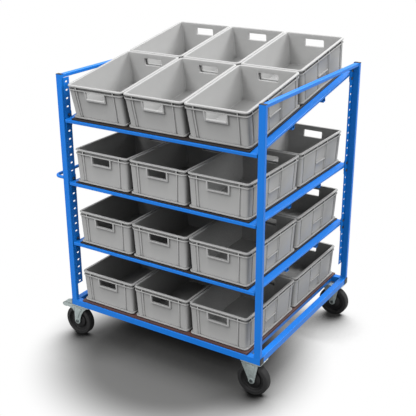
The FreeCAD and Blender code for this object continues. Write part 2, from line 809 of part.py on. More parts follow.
def build_nodes():
    nodes = {}
    nodes["base_cross_tubes"] = base_cross_tubes()
    nodes["base_side_tubes"] = base_side_tubes()
    nodes["deck_supports"] = deck_supports()
    nodes["deck_board"] = deck_board()
    nodes["uprights"] = uprights()
    nodes["perforated_strips"] = perforated_strips()
    nodes["top_rails"] = top_rails()
    nodes["tube_plugs"] = tube_plugs()
    nodes["push_handle"] = push_handle()
    nodes["shelf_end_plates"] = shelf_end_plates()
    nodes["shelf_bolts"] = shelf_bolts()
    nodes["caster_bolts"] = caster_bolts()

    container = make_container()
    for number, place in enumerate(container_places(deck_top)):
        local = FreeCAD.Placement(place, FreeCAD.Rotation())
        nodes["container_deck_%d" % (number + 1)] = [placed(container, local)]
    for name, front_slot, rear_slot in shelf_levels:
        placement, tilt = shelf_placement(front_slot, rear_slot)
        length = shelf_length(tilt)
        nodes["shelf_frame_" + name] = [placed(piece, placement) for piece in shelf_frame(length)]
        nodes["shelf_board_" + name] = [placed(shelf_board(length), placement)]
        for number, place in enumerate(container_places(board_top)):
            local = FreeCAD.Placement(place - point(0, frame_depth / 2, 0), FreeCAD.Rotation())
            node = "container_%s_%d" % (name, number + 1)
            nodes[node] = [placed(container, placement.multiply(local))]

    fixed_x = frame_width - caster_inset
    swivel_x = swivel_wheel_x()
    nodes["fixed_forks"] = both_ends(fixed_fork())
    nodes["swivel_plates"] = both_ends(swivel_plate())
    nodes["swivel_races"] = both_ends(swivel_race())
    nodes["fixed_axles"] = []
    for piece in axle(fixed_x):
        nodes["fixed_axles"] += both_ends(piece)
    for end, side in (("front", 0), ("rear", 1)):
        nodes["tyre_fixed_" + end] = [both_ends(tyre(fixed_x))[side]]
        nodes["wheel_rim_fixed_" + end] = [both_ends(wheel_rim(fixed_x))[side]]
        nodes["swivel_fork_" + end] = [both_ends(swivel_fork())[side], both_ends(pedal_pin())[side]]
        nodes["swivel_axle_" + end] = [both_ends(piece)[side] for piece in axle(swivel_x)]
        nodes["tyre_swivel_" + end] = [both_ends(tyre(swivel_x))[side]]
        nodes["wheel_rim_swivel_" + end] = [both_ends(wheel_rim(swivel_x))[side]]
        nodes["brake_pedal_" + end] = [both_ends(brake_pedal())[side]]
    return nodes


def origin_of(nodes):
    # Middle of the underside of the whole trolley's box
    whole = FreeCAD.BoundBox()
    for solids in nodes.values():
        for solid in solids:
            whole.add(solid.optimalBoundingBox(False))
    return point(whole.Center.x, whole.Center.y, whole.ZMin)


def main():
    nodes = build_nodes()
    origin = origin_of(nodes)
    os.makedirs("parts", exist_ok=True)
    for name, solids in nodes.items():
        moved = []
        for solid in solids:
            for single in solid.Solids:
                copy = single.copy()
                copy.translate(point(-origin.x, -origin.y, -origin.z))
                moved.append(copy)
        shape = moved[0] if len(moved) == 1 else Part.makeCompound(moved)
        shape.exportStep("parts/%s.step" % name)
        print(name, len(moved), "solids", "valid" if shape.isValid() else "INVALID")
    print("origin %.3f %.3f %.3f" % (origin.x, origin.y, origin.z))


main()
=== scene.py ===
import json
import math
import bpy
import bmesh
from mathutils import Matrix, Vector

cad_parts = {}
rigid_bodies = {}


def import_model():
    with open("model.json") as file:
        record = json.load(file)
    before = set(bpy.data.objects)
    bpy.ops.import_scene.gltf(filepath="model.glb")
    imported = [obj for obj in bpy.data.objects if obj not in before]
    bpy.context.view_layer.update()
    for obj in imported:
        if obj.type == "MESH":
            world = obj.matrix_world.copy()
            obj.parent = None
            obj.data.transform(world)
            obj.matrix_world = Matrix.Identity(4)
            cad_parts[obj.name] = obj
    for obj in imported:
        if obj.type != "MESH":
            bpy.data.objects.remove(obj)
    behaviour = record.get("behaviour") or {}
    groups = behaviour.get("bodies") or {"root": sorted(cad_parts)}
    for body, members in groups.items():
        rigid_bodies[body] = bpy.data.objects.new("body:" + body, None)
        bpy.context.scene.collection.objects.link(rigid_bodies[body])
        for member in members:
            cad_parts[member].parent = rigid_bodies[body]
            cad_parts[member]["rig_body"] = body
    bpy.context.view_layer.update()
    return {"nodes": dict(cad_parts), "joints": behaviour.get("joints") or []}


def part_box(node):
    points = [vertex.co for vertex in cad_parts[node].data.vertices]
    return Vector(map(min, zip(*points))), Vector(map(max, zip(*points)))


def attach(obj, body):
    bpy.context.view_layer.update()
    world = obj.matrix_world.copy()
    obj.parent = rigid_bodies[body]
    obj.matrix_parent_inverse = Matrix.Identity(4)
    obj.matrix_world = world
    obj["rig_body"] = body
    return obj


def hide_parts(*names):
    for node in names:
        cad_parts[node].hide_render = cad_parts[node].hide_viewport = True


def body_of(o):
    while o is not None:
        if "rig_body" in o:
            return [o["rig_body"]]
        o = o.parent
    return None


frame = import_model()
nodes = frame["nodes"]
mm = 0.001
ends = ("front", "rear")
upright = Vector((0, 0, 1))
liftAxis = next(joint["axis"] for joint in frame["joints"] if joint["name"] == "container_top_1_lift")
shelfTilt = math.atan2(-liftAxis[1], liftAxis[2])
print("frame loaded,", len(nodes), "nodes")


def linearColour(hexColour):
    # sRGB hex to the linear RGBA that the shaders take
    channels = []
    for start in (1, 3, 5):
        value = int(hexColour[start:start + 2], 16) / 255
        channels.append(value / 12.92 if value <= 0.04045 else ((value + 0.055) / 1.055) ** 2.4)
    return (*channels, 1.0)


def addNode(tree, kind, settings=None, links=None):
    node = tree.nodes.new(kind)
    for name, value in (settings or {}).items():
        if isinstance(name, int) or name in node.inputs:
            node.inputs[name].default_value = value
        else:
            setattr(node, name, value)
    for name, source in (links or {}).items():
        tree.links.new(source, node.inputs[name])
    return node


def startMaterial(name, surface):
    # A fresh material with its shader, and the piece's own coordinates in metres
    material = bpy.data.materials.new(name)
    material.use_nodes = True
    tree = material.node_tree
    tree.nodes.clear()
    shader = addNode(tree, "ShaderNodeBsdfPrincipled", surface)
    addNode(tree, "ShaderNodeOutputMaterial", links={"Surface": shader.outputs[0]})
    place = addNode(tree, "ShaderNodeTexCoord").outputs["Object"]
    return material, tree, shader, place


def clouded(tree, place, sizeMm, detail, firstHex, secondHex):
    # Clouds of a real size, and two shades that drift into each other with them
    cloud = addNode(tree, "ShaderNodeTexNoise", {"Scale": 1 / (sizeMm * mm), "Detail": detail},
                    {"Vector": place})
    shade = addNode(tree, "ShaderNodeMix", {"data_type": "RGBA", 6: linearColour(firstHex),
                                            7: linearColour(secondHex)}, {0: cloud.outputs["Fac"]})
    return cloud.outputs["Fac"], shade.outputs[2]


def paintedShading(tree, colour, reachMm, span, tone, settings, links=None):
    # Painted shading: the colour times a tone where near surfaces close in, darker below a tone of 1 and
    # lighter above it, and that factor itself
    near = addNode(tree, "ShaderNodeAmbientOcclusion", {"Distance": reachMm * mm, **settings}, links)
    factor = addNode(tree, "ShaderNodeMapRange", {"From Min": span[0], "From Max": span[1], "To Min": tone},
                     {"Value": near.outputs["AO"]})
    shadedColour = addNode(tree, "ShaderNodeMix", {"data_type": "RGBA", "blend_type": "MULTIPLY", 0: 1.0},
                   {6: colour, 7: factor.outputs[0]})
    return shadedColour.outputs[2], factor.outputs[0]


def giveSkin(tree, shader, sheen, roughness, relief=None, strength=0.0, depthMm=0.0):
    # Roughness that follows one pattern and a fine relief that follows another
    gloss = addNode(tree, "ShaderNodeMapRange", {"To Min": roughness[0], "To Max": roughness[1]},
                    {"Value": sheen})
    tree.links.new(gloss.outputs[0], shader.inputs["Roughness"])
    if relief is not None:
        bump = addNode(tree, "ShaderNodeBump", {"Strength": strength, "Distance": depthMm * mm},
                       {"Height": relief})
        tree.links.new(bump.outputs[0], shader.inputs["Normal"])


# Polyester powder coat on steel tube: satin, evenly blue, with a faint orange peel and slow cloudy drift
powderCoat = {"blue": "#1A82EA", "deepBlue": "#157AE0", "bounce": "#6C7783", "cloudMm": 160, "peelMm": 7,
              "peelDepthMm": 0.3, "roughness": (0.34, 0.46)}


def bluePowderCoat():
    s = powderCoat
    surface = {"IOR": 1.4, "Specular IOR Level": 0.36, "Coat Weight": 0.03}
    material, tree, shader, place = startMaterial("bluePowderCoat", surface)
    shade = clouded(tree, place, s["cloudMm"], 3.0, s["blue"], s["deepBlue"])[1]
    # Light that bounces off the paint is kept nearly grey, so that it doesn't stain the containers
    rays = addNode(tree, "ShaderNodeLightPath")
    calm = addNode(tree, "ShaderNodeMix", {"data_type": "RGBA", 7: linearColour(s["bounce"])},
                   {0: rays.outputs["Is Diffuse Ray"], 6: shade})
    tree.links.new(calm.outputs[2], shader.inputs["Base Color"])
    # Real orange peel is 1 to 2 mm, drawn coarser here so that it shows at this distance
    peel = addNode(tree, "ShaderNodeTexNoise", {"Scale": 1 / (s["peelMm"] * mm), "Detail": 2.0},
                   {"Vector": place}).outputs["Fac"]
    giveSkin(tree, shader, peel, s["roughness"], peel, 0.12, s["peelDepthMm"])
    return material


# Injection moulded polypropylene: matt spark-eroded skin, slight flow clouds and handling scuffs
containerGrey = {
    "grey": "#A6A6A6", "paleGrey": "#ADADAC", "cloudMm": 90, "grainMm": 5, "grainDepthMm": 0.3, "scuffMm": 22,
    "roughness": (0.42, 0.58), "recessMm": 24, "recessSpan": (0.3, 0.66), "recessTone": 0.22,
    "edgeMm": 4.5, "edgeSpan": (0.45, 0.95), "edgeTone": 1.55,
    "coverMm": 700, "coverSpan": (0.02, 0.22), "coverTone": 0.42, "floorTone": 0.78,
}


def greyPolypropylene():
    s = containerGrey
    material, tree, shader, place = startMaterial("greyPolypropylene", {"IOR": 1.49})
    shade = clouded(tree, place, s["cloudMm"], 4.0, s["grey"], s["paleGrey"])[1]
    # Painted shade darkens the recesses, and painted highlights brighten the corners and edges
    nearby = {"samples": 6, "only_local": True}
    shade = paintedShading(tree, shade, s["recessMm"], s["recessSpan"], s["recessTone"], nearby)[0]
    shade = paintedShading(tree, shade, s["edgeMm"], s["edgeSpan"], s["edgeTone"], {**nearby, "inside": True})[0]
    # Stacked levels shade the insides of the containers below them
    above = addNode(tree, "ShaderNodeCombineXYZ", {"Z": 1.0}).outputs[0]
    shade = paintedShading(tree, shade, s["coverMm"], s["coverSpan"], s["coverTone"], {"samples": 8},
                 {"Normal": above})[0]
    # Painted shade on the upward-facing floor inside the walls, which the rim above it is spared
    walls = addNode(tree, "ShaderNodeAmbientOcclusion", {**nearby, "Distance": s["coverMm"] * mm},
                    {"Normal": above})
    within = addNode(tree, "ShaderNodeMapRange", {"From Min": 0.95, "From Max": 0.8},
                     {"Value": walls.outputs["AO"]})
    normal = addNode(tree, "ShaderNodeNewGeometry").outputs["Normal"]
    facing = addNode(tree, "ShaderNodeSeparateXYZ", links={0: normal}).outputs["Z"]
    level = addNode(tree, "ShaderNodeMapRange", {"From Min": 0.6, "From Max": 0.95}, {"Value": facing})
    floorShadeMask = addNode(tree, "ShaderNodeMath", {"operation": "MULTIPLY"},
                      {0: level.outputs[0], 1: within.outputs[0]})
    floorShade = addNode(tree, "ShaderNodeMapRange", {"To Min": 1.0, "To Max": s["floorTone"]},
                     {"Value": floorShadeMask.outputs[0]})
    shadedColour = addNode(tree, "ShaderNodeMix", {"data_type": "RGBA", "blend_type": "MULTIPLY", 0: 1.0},
                   {6: shade, 7: floorShade.outputs[0]})
    tree.links.new(shadedColour.outputs[2], shader.inputs["Base Color"])
    scuff = addNode(tree, "ShaderNodeTexNoise", {"Scale": 1 / (s["scuffMm"] * mm), "Detail": 5.0},
                    {"Vector": place})
    # The eroded grain is under 1 mm, drawn coarser so that it shows
    grain = addNode(tree, "ShaderNodeTexNoise", {"Scale": 1 / (s["grainMm"] * mm), "Detail": 3.0},
                    {"Vector": place})
    giveSkin(tree, shader, scuff.outputs["Fac"], s["roughness"], grain.outputs["Fac"], 0.1, s["grainDepthMm"])
    return material


# Film faced plywood: a brown phenolic film over thin plies, whose edges show as fine stripes
plywood = {"plyMm": 1.5, "meshMm": 9, "meshDepthMm": 0.4, "grainMm": 7.5, "grainStretch": 0.15,
           "filmGrain": 0.35, "roughness": (0.5, 0.7), "gapMm": 35, "gapSpan": (0.3, 0.72), "gapTone": 0.03}


def filmFacedPlywood(name, filmHex, darkPlyHex, palePlyHex, tilt):
    s = plywood
    material, tree, shader, place = startMaterial(name, {"IOR": 1.52})
    level = addNode(tree, "ShaderNodeMapping", {"Rotation": (-tilt, 0, 0)}, {"Vector": place}).outputs[0]
    drawn = addNode(tree, "ShaderNodeMapping", {"Scale": (s["grainStretch"], 1, 1)}, {"Vector": level})
    fibre = addNode(tree, "ShaderNodeTexNoise", {"Scale": 1 / (s["grainMm"] * mm), "Detail": 6.0},
                    {"Vector": drawn.outputs[0]})
    # A wave texture repeats every 0.314 m at scale 1, and two plies make one wave
    plies = addNode(tree, "ShaderNodeTexWave",
                    {"bands_direction": "Z", "Scale": 0.314 / (2 * s["plyMm"] * mm), "Distortion": 0.6,
                     "Detail": 2.0}, {"Vector": level})
    edge = addNode(tree, "ShaderNodeMix", {"data_type": "RGBA", 6: linearColour(darkPlyHex),
                                           7: linearColour(palePlyHex)}, {0: plies.outputs["Fac"]})
    film = addNode(tree, "ShaderNodeMix", {"data_type": "RGBA", "blend_type": "MULTIPLY", 0: s["filmGrain"],
                                           6: linearColour(filmHex)}, {7: fibre.outputs["Color"]})
    # The film is on the flat faces and the plies show at the edges
    normal = addNode(tree, "ShaderNodeNewGeometry").outputs["Normal"]
    upward = addNode(tree, "ShaderNodeSeparateXYZ", links={0: normal}).outputs["Z"]
    flat = addNode(tree, "ShaderNodeMath", {"operation": "ABSOLUTE"}, {0: upward})
    face = addNode(tree, "ShaderNodeMath", {"operation": "GREATER_THAN", 1: 0.7}, {0: flat.outputs[0]})
    shade = addNode(tree, "ShaderNodeMix", {"data_type": "RGBA"}, {0: face.outputs[0], 6: edge.outputs[2],
                                                                  7: film.outputs[2]})
    # Painted shade turns the board nearly black in the narrow gap under whatever stands on it
    gapShaded = paintedShading(tree, shade.outputs[2], s["gapMm"], s["gapSpan"], s["gapTone"], {"samples": 8})[0]
    tree.links.new(gapShaded, shader.inputs["Base Color"])
    # The film's pressed wire mesh, drawn larger than its real 2 mm so that it shows
    press = addNode(tree, "ShaderNodeTexVoronoi", {"Scale": 1 / (s["meshMm"] * mm), "Randomness": 0.1},
                    {"Vector": level})
    giveSkin(tree, shader, fibre.outputs["Fac"], s["roughness"], press.outputs["Distance"], 0.2,
             s["meshDepthMm"])
    return material


# Bright zinc plate: metal with soft spangles, a cool tint and dull handling patches
zinc = {"bright": "#B4BFBE", "dull": "#A3AEAD", "spangleMm": 9, "patchMm": 35, "patchDepthMm": 0.2,
        "roughness": (0.32, 0.5)}


def zincPlate():
    s = zinc
    material, tree, shader, place = startMaterial("zincPlate", {"Metallic": 0.45})
    spangle = addNode(tree, "ShaderNodeTexVoronoi", {"Scale": 1 / (s["spangleMm"] * mm)}, {"Vector": place})
    tone = addNode(tree, "ShaderNodeSeparateColor", links={0: spangle.outputs["Color"]}).outputs[0]
    shade = addNode(tree, "ShaderNodeMix", {"data_type": "RGBA", 6: linearColour(s["dull"]),
                                            7: linearColour(s["bright"])}, {0: tone})
    tree.links.new(shade.outputs[2], shader.inputs["Base Color"])
    patch = addNode(tree, "ShaderNodeTexNoise", {"Scale": 1 / (s["patchMm"] * mm), "Detail": 4.0},
                    {"Vector": place}).outputs["Fac"]
    giveSkin(tree, shader, patch, s["roughness"], patch, 0.08, s["patchDepthMm"])
    return material


# Steel of bolts and ball races: darker, oiled, finely scratched
darkSteel = {"steel": "#6E7475", "oiled": "#4B5051", "scratchMm": 4, "scratchSqueeze": 6,
             "roughness": (0.32, 0.5)}


def oiledSteel():
    s = darkSteel
    material, tree, shader, place = startMaterial("oiledSteel", {"Metallic": 1.0})
    drawn = addNode(tree, "ShaderNodeMapping", {"Scale": (1, 1, s["scratchSqueeze"])}, {"Vector": place})
    scratch, shade = clouded(tree, drawn.outputs[0], s["scratchMm"], 4.0, s["oiled"], s["steel"])
    tree.links.new(shade, shader.inputs["Base Color"])
    giveSkin(tree, shader, scratch, s["roughness"])
    return material


# Black polymers: solid rubber tyres, polyamide wheel bodies and polyethylene plugs differ in gloss and dust
blackPolymers = {"grainMm": 6, "grainDepthMm": 0.4, "dustMm": 40, "roughnessSpread": (-0.08, 0.1),
                 "recessMm": 24, "recessSpan": (0.4, 0.85), "recessTone": 0.05}


def blackPolymer(name, darkHex, dustyHex, roughness, bumpStrength):
    s = blackPolymers
    material, tree, shader, place = startMaterial(name, {"IOR": 1.5})
    dust, shade = clouded(tree, place, s["dustMm"], 6.0, darkHex, dustyHex)
    # Painted shade makes the turned grooves blacker than the faces around them
    shadedColour = paintedShading(tree, shade, s["recessMm"], s["recessSpan"], s["recessTone"],
                {"samples": 6, "only_local": True})[0]
    tree.links.new(shadedColour, shader.inputs["Base Color"])
    grain = addNode(tree, "ShaderNodeTexNoise", {"Scale": 1 / (s["grainMm"] * mm), "Detail": 3.0},
                    {"Vector": place})
    sheen = [roughness + spread for spread in s["roughnessSpread"]]
    giveSkin(tree, shader, dust, sheen, grain.outputs["Fac"], bumpStrength, s["grainDepthMm"])
    return material


finishes = {
    "blue": bluePowderCoat(),
    "grey": greyPolypropylene(),
    "deck": filmFacedPlywood("brownFilmPlywood", "#5E3D38", "#3B2421", "#5A3A34", 0.0),
    "shelf": filmFacedPlywood("blackFilmPlywood", "#2A211F", "#15100F", "#241B19", 0.0),
    "tiltedShelf": filmFacedPlywood("blackFilmPlywoodTilted", "#2A211F", "#15100F", "#241B19", shelfTilt),
    "zinc": zincPlate(),
    "bolt": oiledSteel(),
    "tyre": blackPolymer("tyreRubber", "#161617", "#232324", 0.72, 0.3),
    "wheel": blackPolymer("wheelPolyamide", "#0B0B0C", "#141415", 0.55, 0.12),
    "plug": blackPolymer("plugPolyethylene", "#141415", "#1E1E20", 0.45, 0.08),
}
print("finishes made,", len(finishes))


def dress(obj, finish):
    obj.data.materials.clear()
    obj.data.materials.append(finishes[finish])


def newPiece(name, bm, finish, smoothAngle):
    # Mesh object at the origin, smooth over gentle turns and crisp past the given angle
    mesh = bpy.data.meshes.new(name)
    bm.to_mesh(mesh)
    bm.free()
    mesh.polygons.foreach_set("use_smooth", [True] * len(mesh.polygons))
    mesh.set_sharp_from_angle(angle=math.radians(smoothAngle))
    piece = bpy.data.objects.new(name, mesh)
    bpy.context.scene.collection.objects.link(piece)
    dress(piece, finish)
    return piece


def settle(name, bm, finish, node, smoothAngle=30):
    # New piece that moves with the CAD node's body and stands for that node
    piece = newPiece(name, bm, finish, smoothAngle)
    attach(piece, body_of(nodes[node])[0])
    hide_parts(node)


def pieceName(start, node):
    return start + node.title().replace("_", "")


def middleOf(node):
    low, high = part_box(node)
    return (low + high) / 2


# Components are each built in a mesh of their own about the origin, and then joined to a piece
def join(target, part, place=None):
    if place is not None:
        part.transform(place)
    mesh = bpy.data.meshes.new("component")
    part.to_mesh(mesh)
    part.free()
    target.from_mesh(mesh)
    bpy.data.meshes.remove(mesh)


def pointing(start, direction):
    # Stands a component built along Z at a point, along a direction
    turn = upright.rotation_difference(Vector(direction)).to_matrix().to_4x4()
    return Matrix.Translation(start) @ turn


def only(geom, kind):
    return [item for item in geom if isinstance(item, kind)]


def roundOff(bm, geom, radius, steps, affect="EDGES", clamp=False):
    bmesh.ops.bevel(bm, geom=geom, offset=radius * mm, offset_type="OFFSET", segments=steps, profile=0.5,
                    affect=affect, material=-1, clamp_overlap=clamp)


def softenEdges(bm, radius, angle=30, steps=2):
    # Round all edges that turn by more than the angle
    bm.normal_update()
    sharp = [edge for edge in bm.edges if edge.is_manifold and edge.calc_face_angle() > math.radians(angle)]
    roundOff(bm, sharp, radius, steps, clamp=True)
    bm.normal_update()


def spunRing(profile, steps):
    # Closed outline of (radius, offset along Y) in mm, turned about the Y axis
    bm = bmesh.new()
    verts = [bm.verts.new((radius * mm, offset * mm, 0)) for radius, offset in profile]
    edges = [bm.edges.new(pair) for pair in zip(verts, verts[1:] + verts[:1])]
    bmesh.ops.spin(bm, geom=verts + edges, cent=(0, 0, 0), axis=(0, 1, 0), angle=2 * math.pi, steps=steps,
                   use_merge=True)
    bmesh.ops.recalc_face_normals(bm, faces=bm.faces)
    return bm


def prism(outline, low, high):
    # Flat outline in X and Z, thick along Y, all in mm
    bm = bmesh.new()
    face = bm.faces.new([bm.verts.new((x * mm, low * mm, z * mm)) for x, z in outline])
    grown = bmesh.ops.extrude_face_region(bm, geom=[face], use_keep_orig=True)["geom"]
    bmesh.ops.translate(bm, vec=(0, (high - low) * mm, 0), verts=only(grown, bmesh.types.BMVert))
    bmesh.ops.recalc_face_normals(bm, faces=bm.faces)
    return bm


def bendSheet(bm, thickness, edge):
    # A bent surface gets its thickness below its upper side, and eased edges
    bmesh.ops.recalc_face_normals(bm, faces=bm.faces)
    crest = max(bm.faces, key=lambda face: face.calc_center_median().z)
    if crest.normal.z < 0:
        bmesh.ops.reverse_faces(bm, faces=bm.faces)
    bmesh.ops.solidify(bm, geom=bm.faces[:], thickness=thickness * mm)
    bmesh.ops.recalc_face_normals(bm, faces=bm.faces)
    softenEdges(bm, edge, angle=60)


def block(low, high):
    # Box between two corners in metres
    bm = bmesh.new()
    bmesh.ops.create_cube(bm, size=1, matrix=Matrix.LocRotScale((low + high) / 2, None, high - low))
    return bm


def slab(low, high, radius, steps=2):
    bm = block(low, high)
    softenEdges(bm, radius, steps=steps)
    return bm


def bar(radius, length, chamfer, sides=28):
    # Round bar along Z from the origin, chamfered at its far end
    bm = bmesh.new()
    bmesh.ops.create_cone(bm, cap_ends=True, segments=sides, radius1=radius * mm, radius2=radius * mm,
                          depth=length * mm, matrix=Matrix.Translation((0, 0, length * mm / 2)))
    bm.normal_update()
    rim = [edge for face in bm.faces if face.normal.z > 0.9 for edge in face.edges]
    roundOff(bm, rim, chamfer, 1)
    return bm


def islandBoxes(name):
    # Lowest and highest corner of each separate solid in a CAD node
    bm = bmesh.new()
    bm.from_mesh(nodes[name].data)
    bm.transform(nodes[name].matrix_world)
    bmesh.ops.remove_doubles(bm, verts=bm.verts, dist=1e-6)
    waiting = set(bm.verts)
    boxes = []
    while waiting:
        front = [waiting.pop()]
        points = []
        while front:
            vert = front.pop()
            points.append(vert.co.copy())
            near = [edge.other_vert(vert) for edge in vert.link_edges]
            fresh = [other for other in near if other in waiting]
            waiting.difference_update(fresh)
            front += fresh
        boxes.append((Vector(min(p[i] for p in points) for i in range(3)),
                      Vector(max(p[i] for p in points) for i in range(3))))
    bm.free()
    return sorted(boxes, key=lambda pair: tuple(pair[0]))


# Stacking container in mm: the outline goes up outside and down inside as (inset from the rim, height)
container = {
    "width": 400, "length": 600, "cornerRadius": 26, "cornerSteps": 6,
    "outline": [(16, 0), (16, 5), (6, 5), (6, 13), (7, 13), (7, 180), (2, 180), (2, 187), (12, 187),
                (12, 202), (0, 202), (0, 205.5), (0.9, 207.9), (2.4, 209.3), (5, 210), (12.5, 210),
                (14.9, 209.3), (16.2, 207.9), (17, 205.5), (17, 4)],
    "panelInset": 7, "panelBand": (13, 180), "neckInset": 12, "neckBand": (187, 202),
    "innerInset": 17, "innerBand": (4, 206), "lean": 8, "draft": 0.6, "recess": 4.5,
    "postInset": 50, "grooveWidth": 12, "sideGroove": 20, "grooveDepth": 3.2, "ribWidth": 6, "ribRaise": 1.8,
    "labelWidth": 130, "labelLedge": 82, "ledgeHeight": 8, "ledgeRaise": 4, "labelSink": 3,
    "holeWidth": 130, "holeBottom": 134, "holeTop": 180, "holeRadius": 6, "holeSteps": 3, "holeFrame": 10,
    "frameRaise": 4.8, "webReach": 10, "edge": 0.9, "smooth": 25,
}


def outwardOf(vert):
    # Plan direction of a wall point from the middle of its rounded corner
    s = container
    cornerX = math.copysign((s["width"] / 2 - s["cornerRadius"]) * mm, vert.co.x)
    cornerY = math.copysign((s["length"] / 2 - s["cornerRadius"]) * mm, vert.co.y)
    return Vector((vert.co.x - cornerX, vert.co.y - cornerY, 0)).normalized()


def wallFaces(bm, direction, inset, band):
    # Flat faces of the wall on one side, at that inset from the rim and between two heights
    half = container["width"] / 2 if direction.x else container["length"] / 2
    found = []
    for face in bm.faces:
        centre = face.calc_center_median()
        onPlane = abs(half - centre.dot(direction) / mm - inset) < 0.5
        if onPlane and abs(face.normal.dot(direction)) > 0.99 and band[0] * mm < centre.z < band[1] * mm:
            found.append(face)
    return found


def cutWall(bm, direction, inset, band, across, heights):
    # Score one wall along upright and level lines
    along = upright.cross(direction)
    for axis, places in ((along, across), (upright, heights)):
        for place in places:
            bm.normal_update()
            faces = wallFaces(bm, direction, inset, band)
            geom = set(faces)
            for face in faces:
                geom.update(face.edges)
                geom.update(face.verts)
            bmesh.ops.bisect_plane(bm, geom=list(geom), dist=1e-7, plane_co=axis * place * mm, plane_no=axis)
    bm.normal_update()
    return wallFaces(bm, direction, inset, band), along


def facesBetween(faces, along, span, band):
    found = []
    for face in faces:
        centre = face.calc_center_median()
        if span[0] * mm < centre.dot(along) < span[1] * mm and band[0] * mm < centre.z < band[1] * mm:
            found.append(face)
    return found


def pressFaces(bm, groups):
    # Raise or, with a depth below zero, sink each group of faces with drafted sides
    for faces, depth in groups:
        if faces:
            bmesh.ops.inset_region(bm, faces=faces, thickness=container["draft"] * mm, depth=depth * mm,
                                   use_even_offset=True)


def shapeEndWall(bm, direction):
    # Short wall: framed hand hole, a rib and a groove beside each corner post, and webs under the rim
    s = container
    band = s["panelBand"]
    post = s["width"] / 2 - s["postInset"]
    rib = post - s["grooveWidth"]
    bay = rib - s["ribWidth"]
    hole = s["holeWidth"] / 2
    surround = hole + s["holeFrame"]
    surroundBottom = s["holeBottom"] - s["holeFrame"]
    lines = [side * x for x in (post, rib, bay, surround, hole) for side in (-1, 1)]
    panel, along = cutWall(bm, direction, s["panelInset"], band, lines, (surroundBottom, s["holeBottom"]))
    outside = facesBetween(panel, along, (-hole, hole), (s["holeBottom"], band[1]))
    framed = facesBetween(panel, along, (-surround, surround), (surroundBottom, band[1]))
    sunk = [face for face in facesBetween(panel, along, (-bay, bay), band) if face not in framed]
    groups = [(sunk, -s["recess"])]
    for low, high, depth in ((rib, post, -s["grooveDepth"]), (bay, rib, s["ribRaise"])):
        groups += [(facesBetween(panel, along, span, band), depth) for span in ((low, high), (-high, -low))]
    groups.append(([face for face in framed if face not in outside], s["frameRaise"]))
    pressFaces(bm, groups)
    opening = (s["holeBottom"], s["holeTop"])
    inner, along = cutWall(bm, direction, s["innerInset"], s["innerBand"], (-hole, hole), opening)
    openHole(bm, outside, facesBetween(inner, along, (-hole, hole), opening), direction)
    shapeNeck(bm, direction, [(rib + bay) / 2])


def openHole(bm, outside, inside, direction):
    # Break through both skins and join the two openings, with rounded corners
    edges = set()
    for group in (outside, inside):
        for face in group:
            for edge in face.edges:
                if sum(1 for other in edge.link_faces if other in group) == 1:
                    edges.add(edge)
    bmesh.ops.delete(bm, geom=outside + inside, context="FACES_ONLY")
    bridge = bmesh.ops.bridge_loops(bm, edges=list(edges))
    bm.normal_update()
    corners = set()
    for face in bridge["faces"]:
        for edge in face.edges:
            run = (edge.verts[0].co - edge.verts[1].co).normalized()
            if abs(run.dot(direction)) > 0.99:
                corners.add(edge)
    roundOff(bm, list(corners), container["holeRadius"], container["holeSteps"], clamp=True)
    bm.normal_update()


def shapeSideWall(bm, direction):
    # Long wall: corner posts, two panels, grooves and a middle label panel with a ledge
    s = container
    band = s["panelBand"]
    post = s["length"] / 2 - s["postInset"]
    groove = post - s["grooveWidth"]
    label = s["labelWidth"] / 2
    labelGroove = label + s["sideGroove"]
    ledge = (s["labelLedge"], s["labelLedge"] + s["ledgeHeight"])
    lines = [side * y for y in (post, groove, labelGroove, label) for side in (-1, 1)]
    panel, along = cutWall(bm, direction, s["panelInset"], band, lines, ledge)
    spans = ((groove, post), (-post, -groove), (label, labelGroove), (-labelGroove, -label))
    groups = [(facesBetween(panel, along, span, band), -s["grooveDepth"]) for span in spans]
    for heights, depth in (((band[0], ledge[0]), -s["recess"]), ((ledge[1], band[1]), -s["labelSink"]),
                           (ledge, s["ledgeRaise"])):
        groups.append((facesBetween(panel, along, (-label, label), heights), depth))
    pressFaces(bm, groups)
    shapeNeck(bm, direction, [post, label + s["sideGroove"] / 2])


def shapeNeck(bm, direction, places):
    # Short webs between the rim and the flange below it, to both sides of the middle
    s = container
    half = s["ribWidth"] / 2
    middles = [side * place for place in places for side in (-1, 1)]
    lines = [middle + edge for middle in middles for edge in (-half, half)]
    neck, along = cutWall(bm, direction, s["neckInset"], s["neckBand"], lines, ())
    webs = []
    for middle in middles:
        webs += facesBetween(neck, along, (middle - half, middle + half), s["neckBand"])
    for web in bmesh.ops.extrude_discrete_faces(bm, faces=webs)["faces"]:
        bmesh.ops.translate(bm, vec=direction * s["webReach"] * mm, verts=list(web.verts))
    bm.normal_update()


def leanWalls(bm):
    # Draft of the moulding: walls draw in towards the floor, while the skirt and the rim keep their size
    s = container
    low, high = s["panelBand"]
    radius = s["cornerRadius"] * mm
    half = Vector((s["width"], s["length"])) * mm / 2
    for vert in bm.verts:
        reach = [max(abs(vert.co[i]) - half[i] + radius, 0) for i in range(2)]
        onSkirt = vert.co.z < (low + 0.1) * mm and math.hypot(*reach) > radius - (s["panelInset"] - 0.1) * mm
        share = min((high - vert.co.z / mm) / (high - low), 1)
        if share > 0 and not onSkirt:
            for i in range(2):
                vert.co[i] *= 1 - share * s["lean"] * mm / half[i]


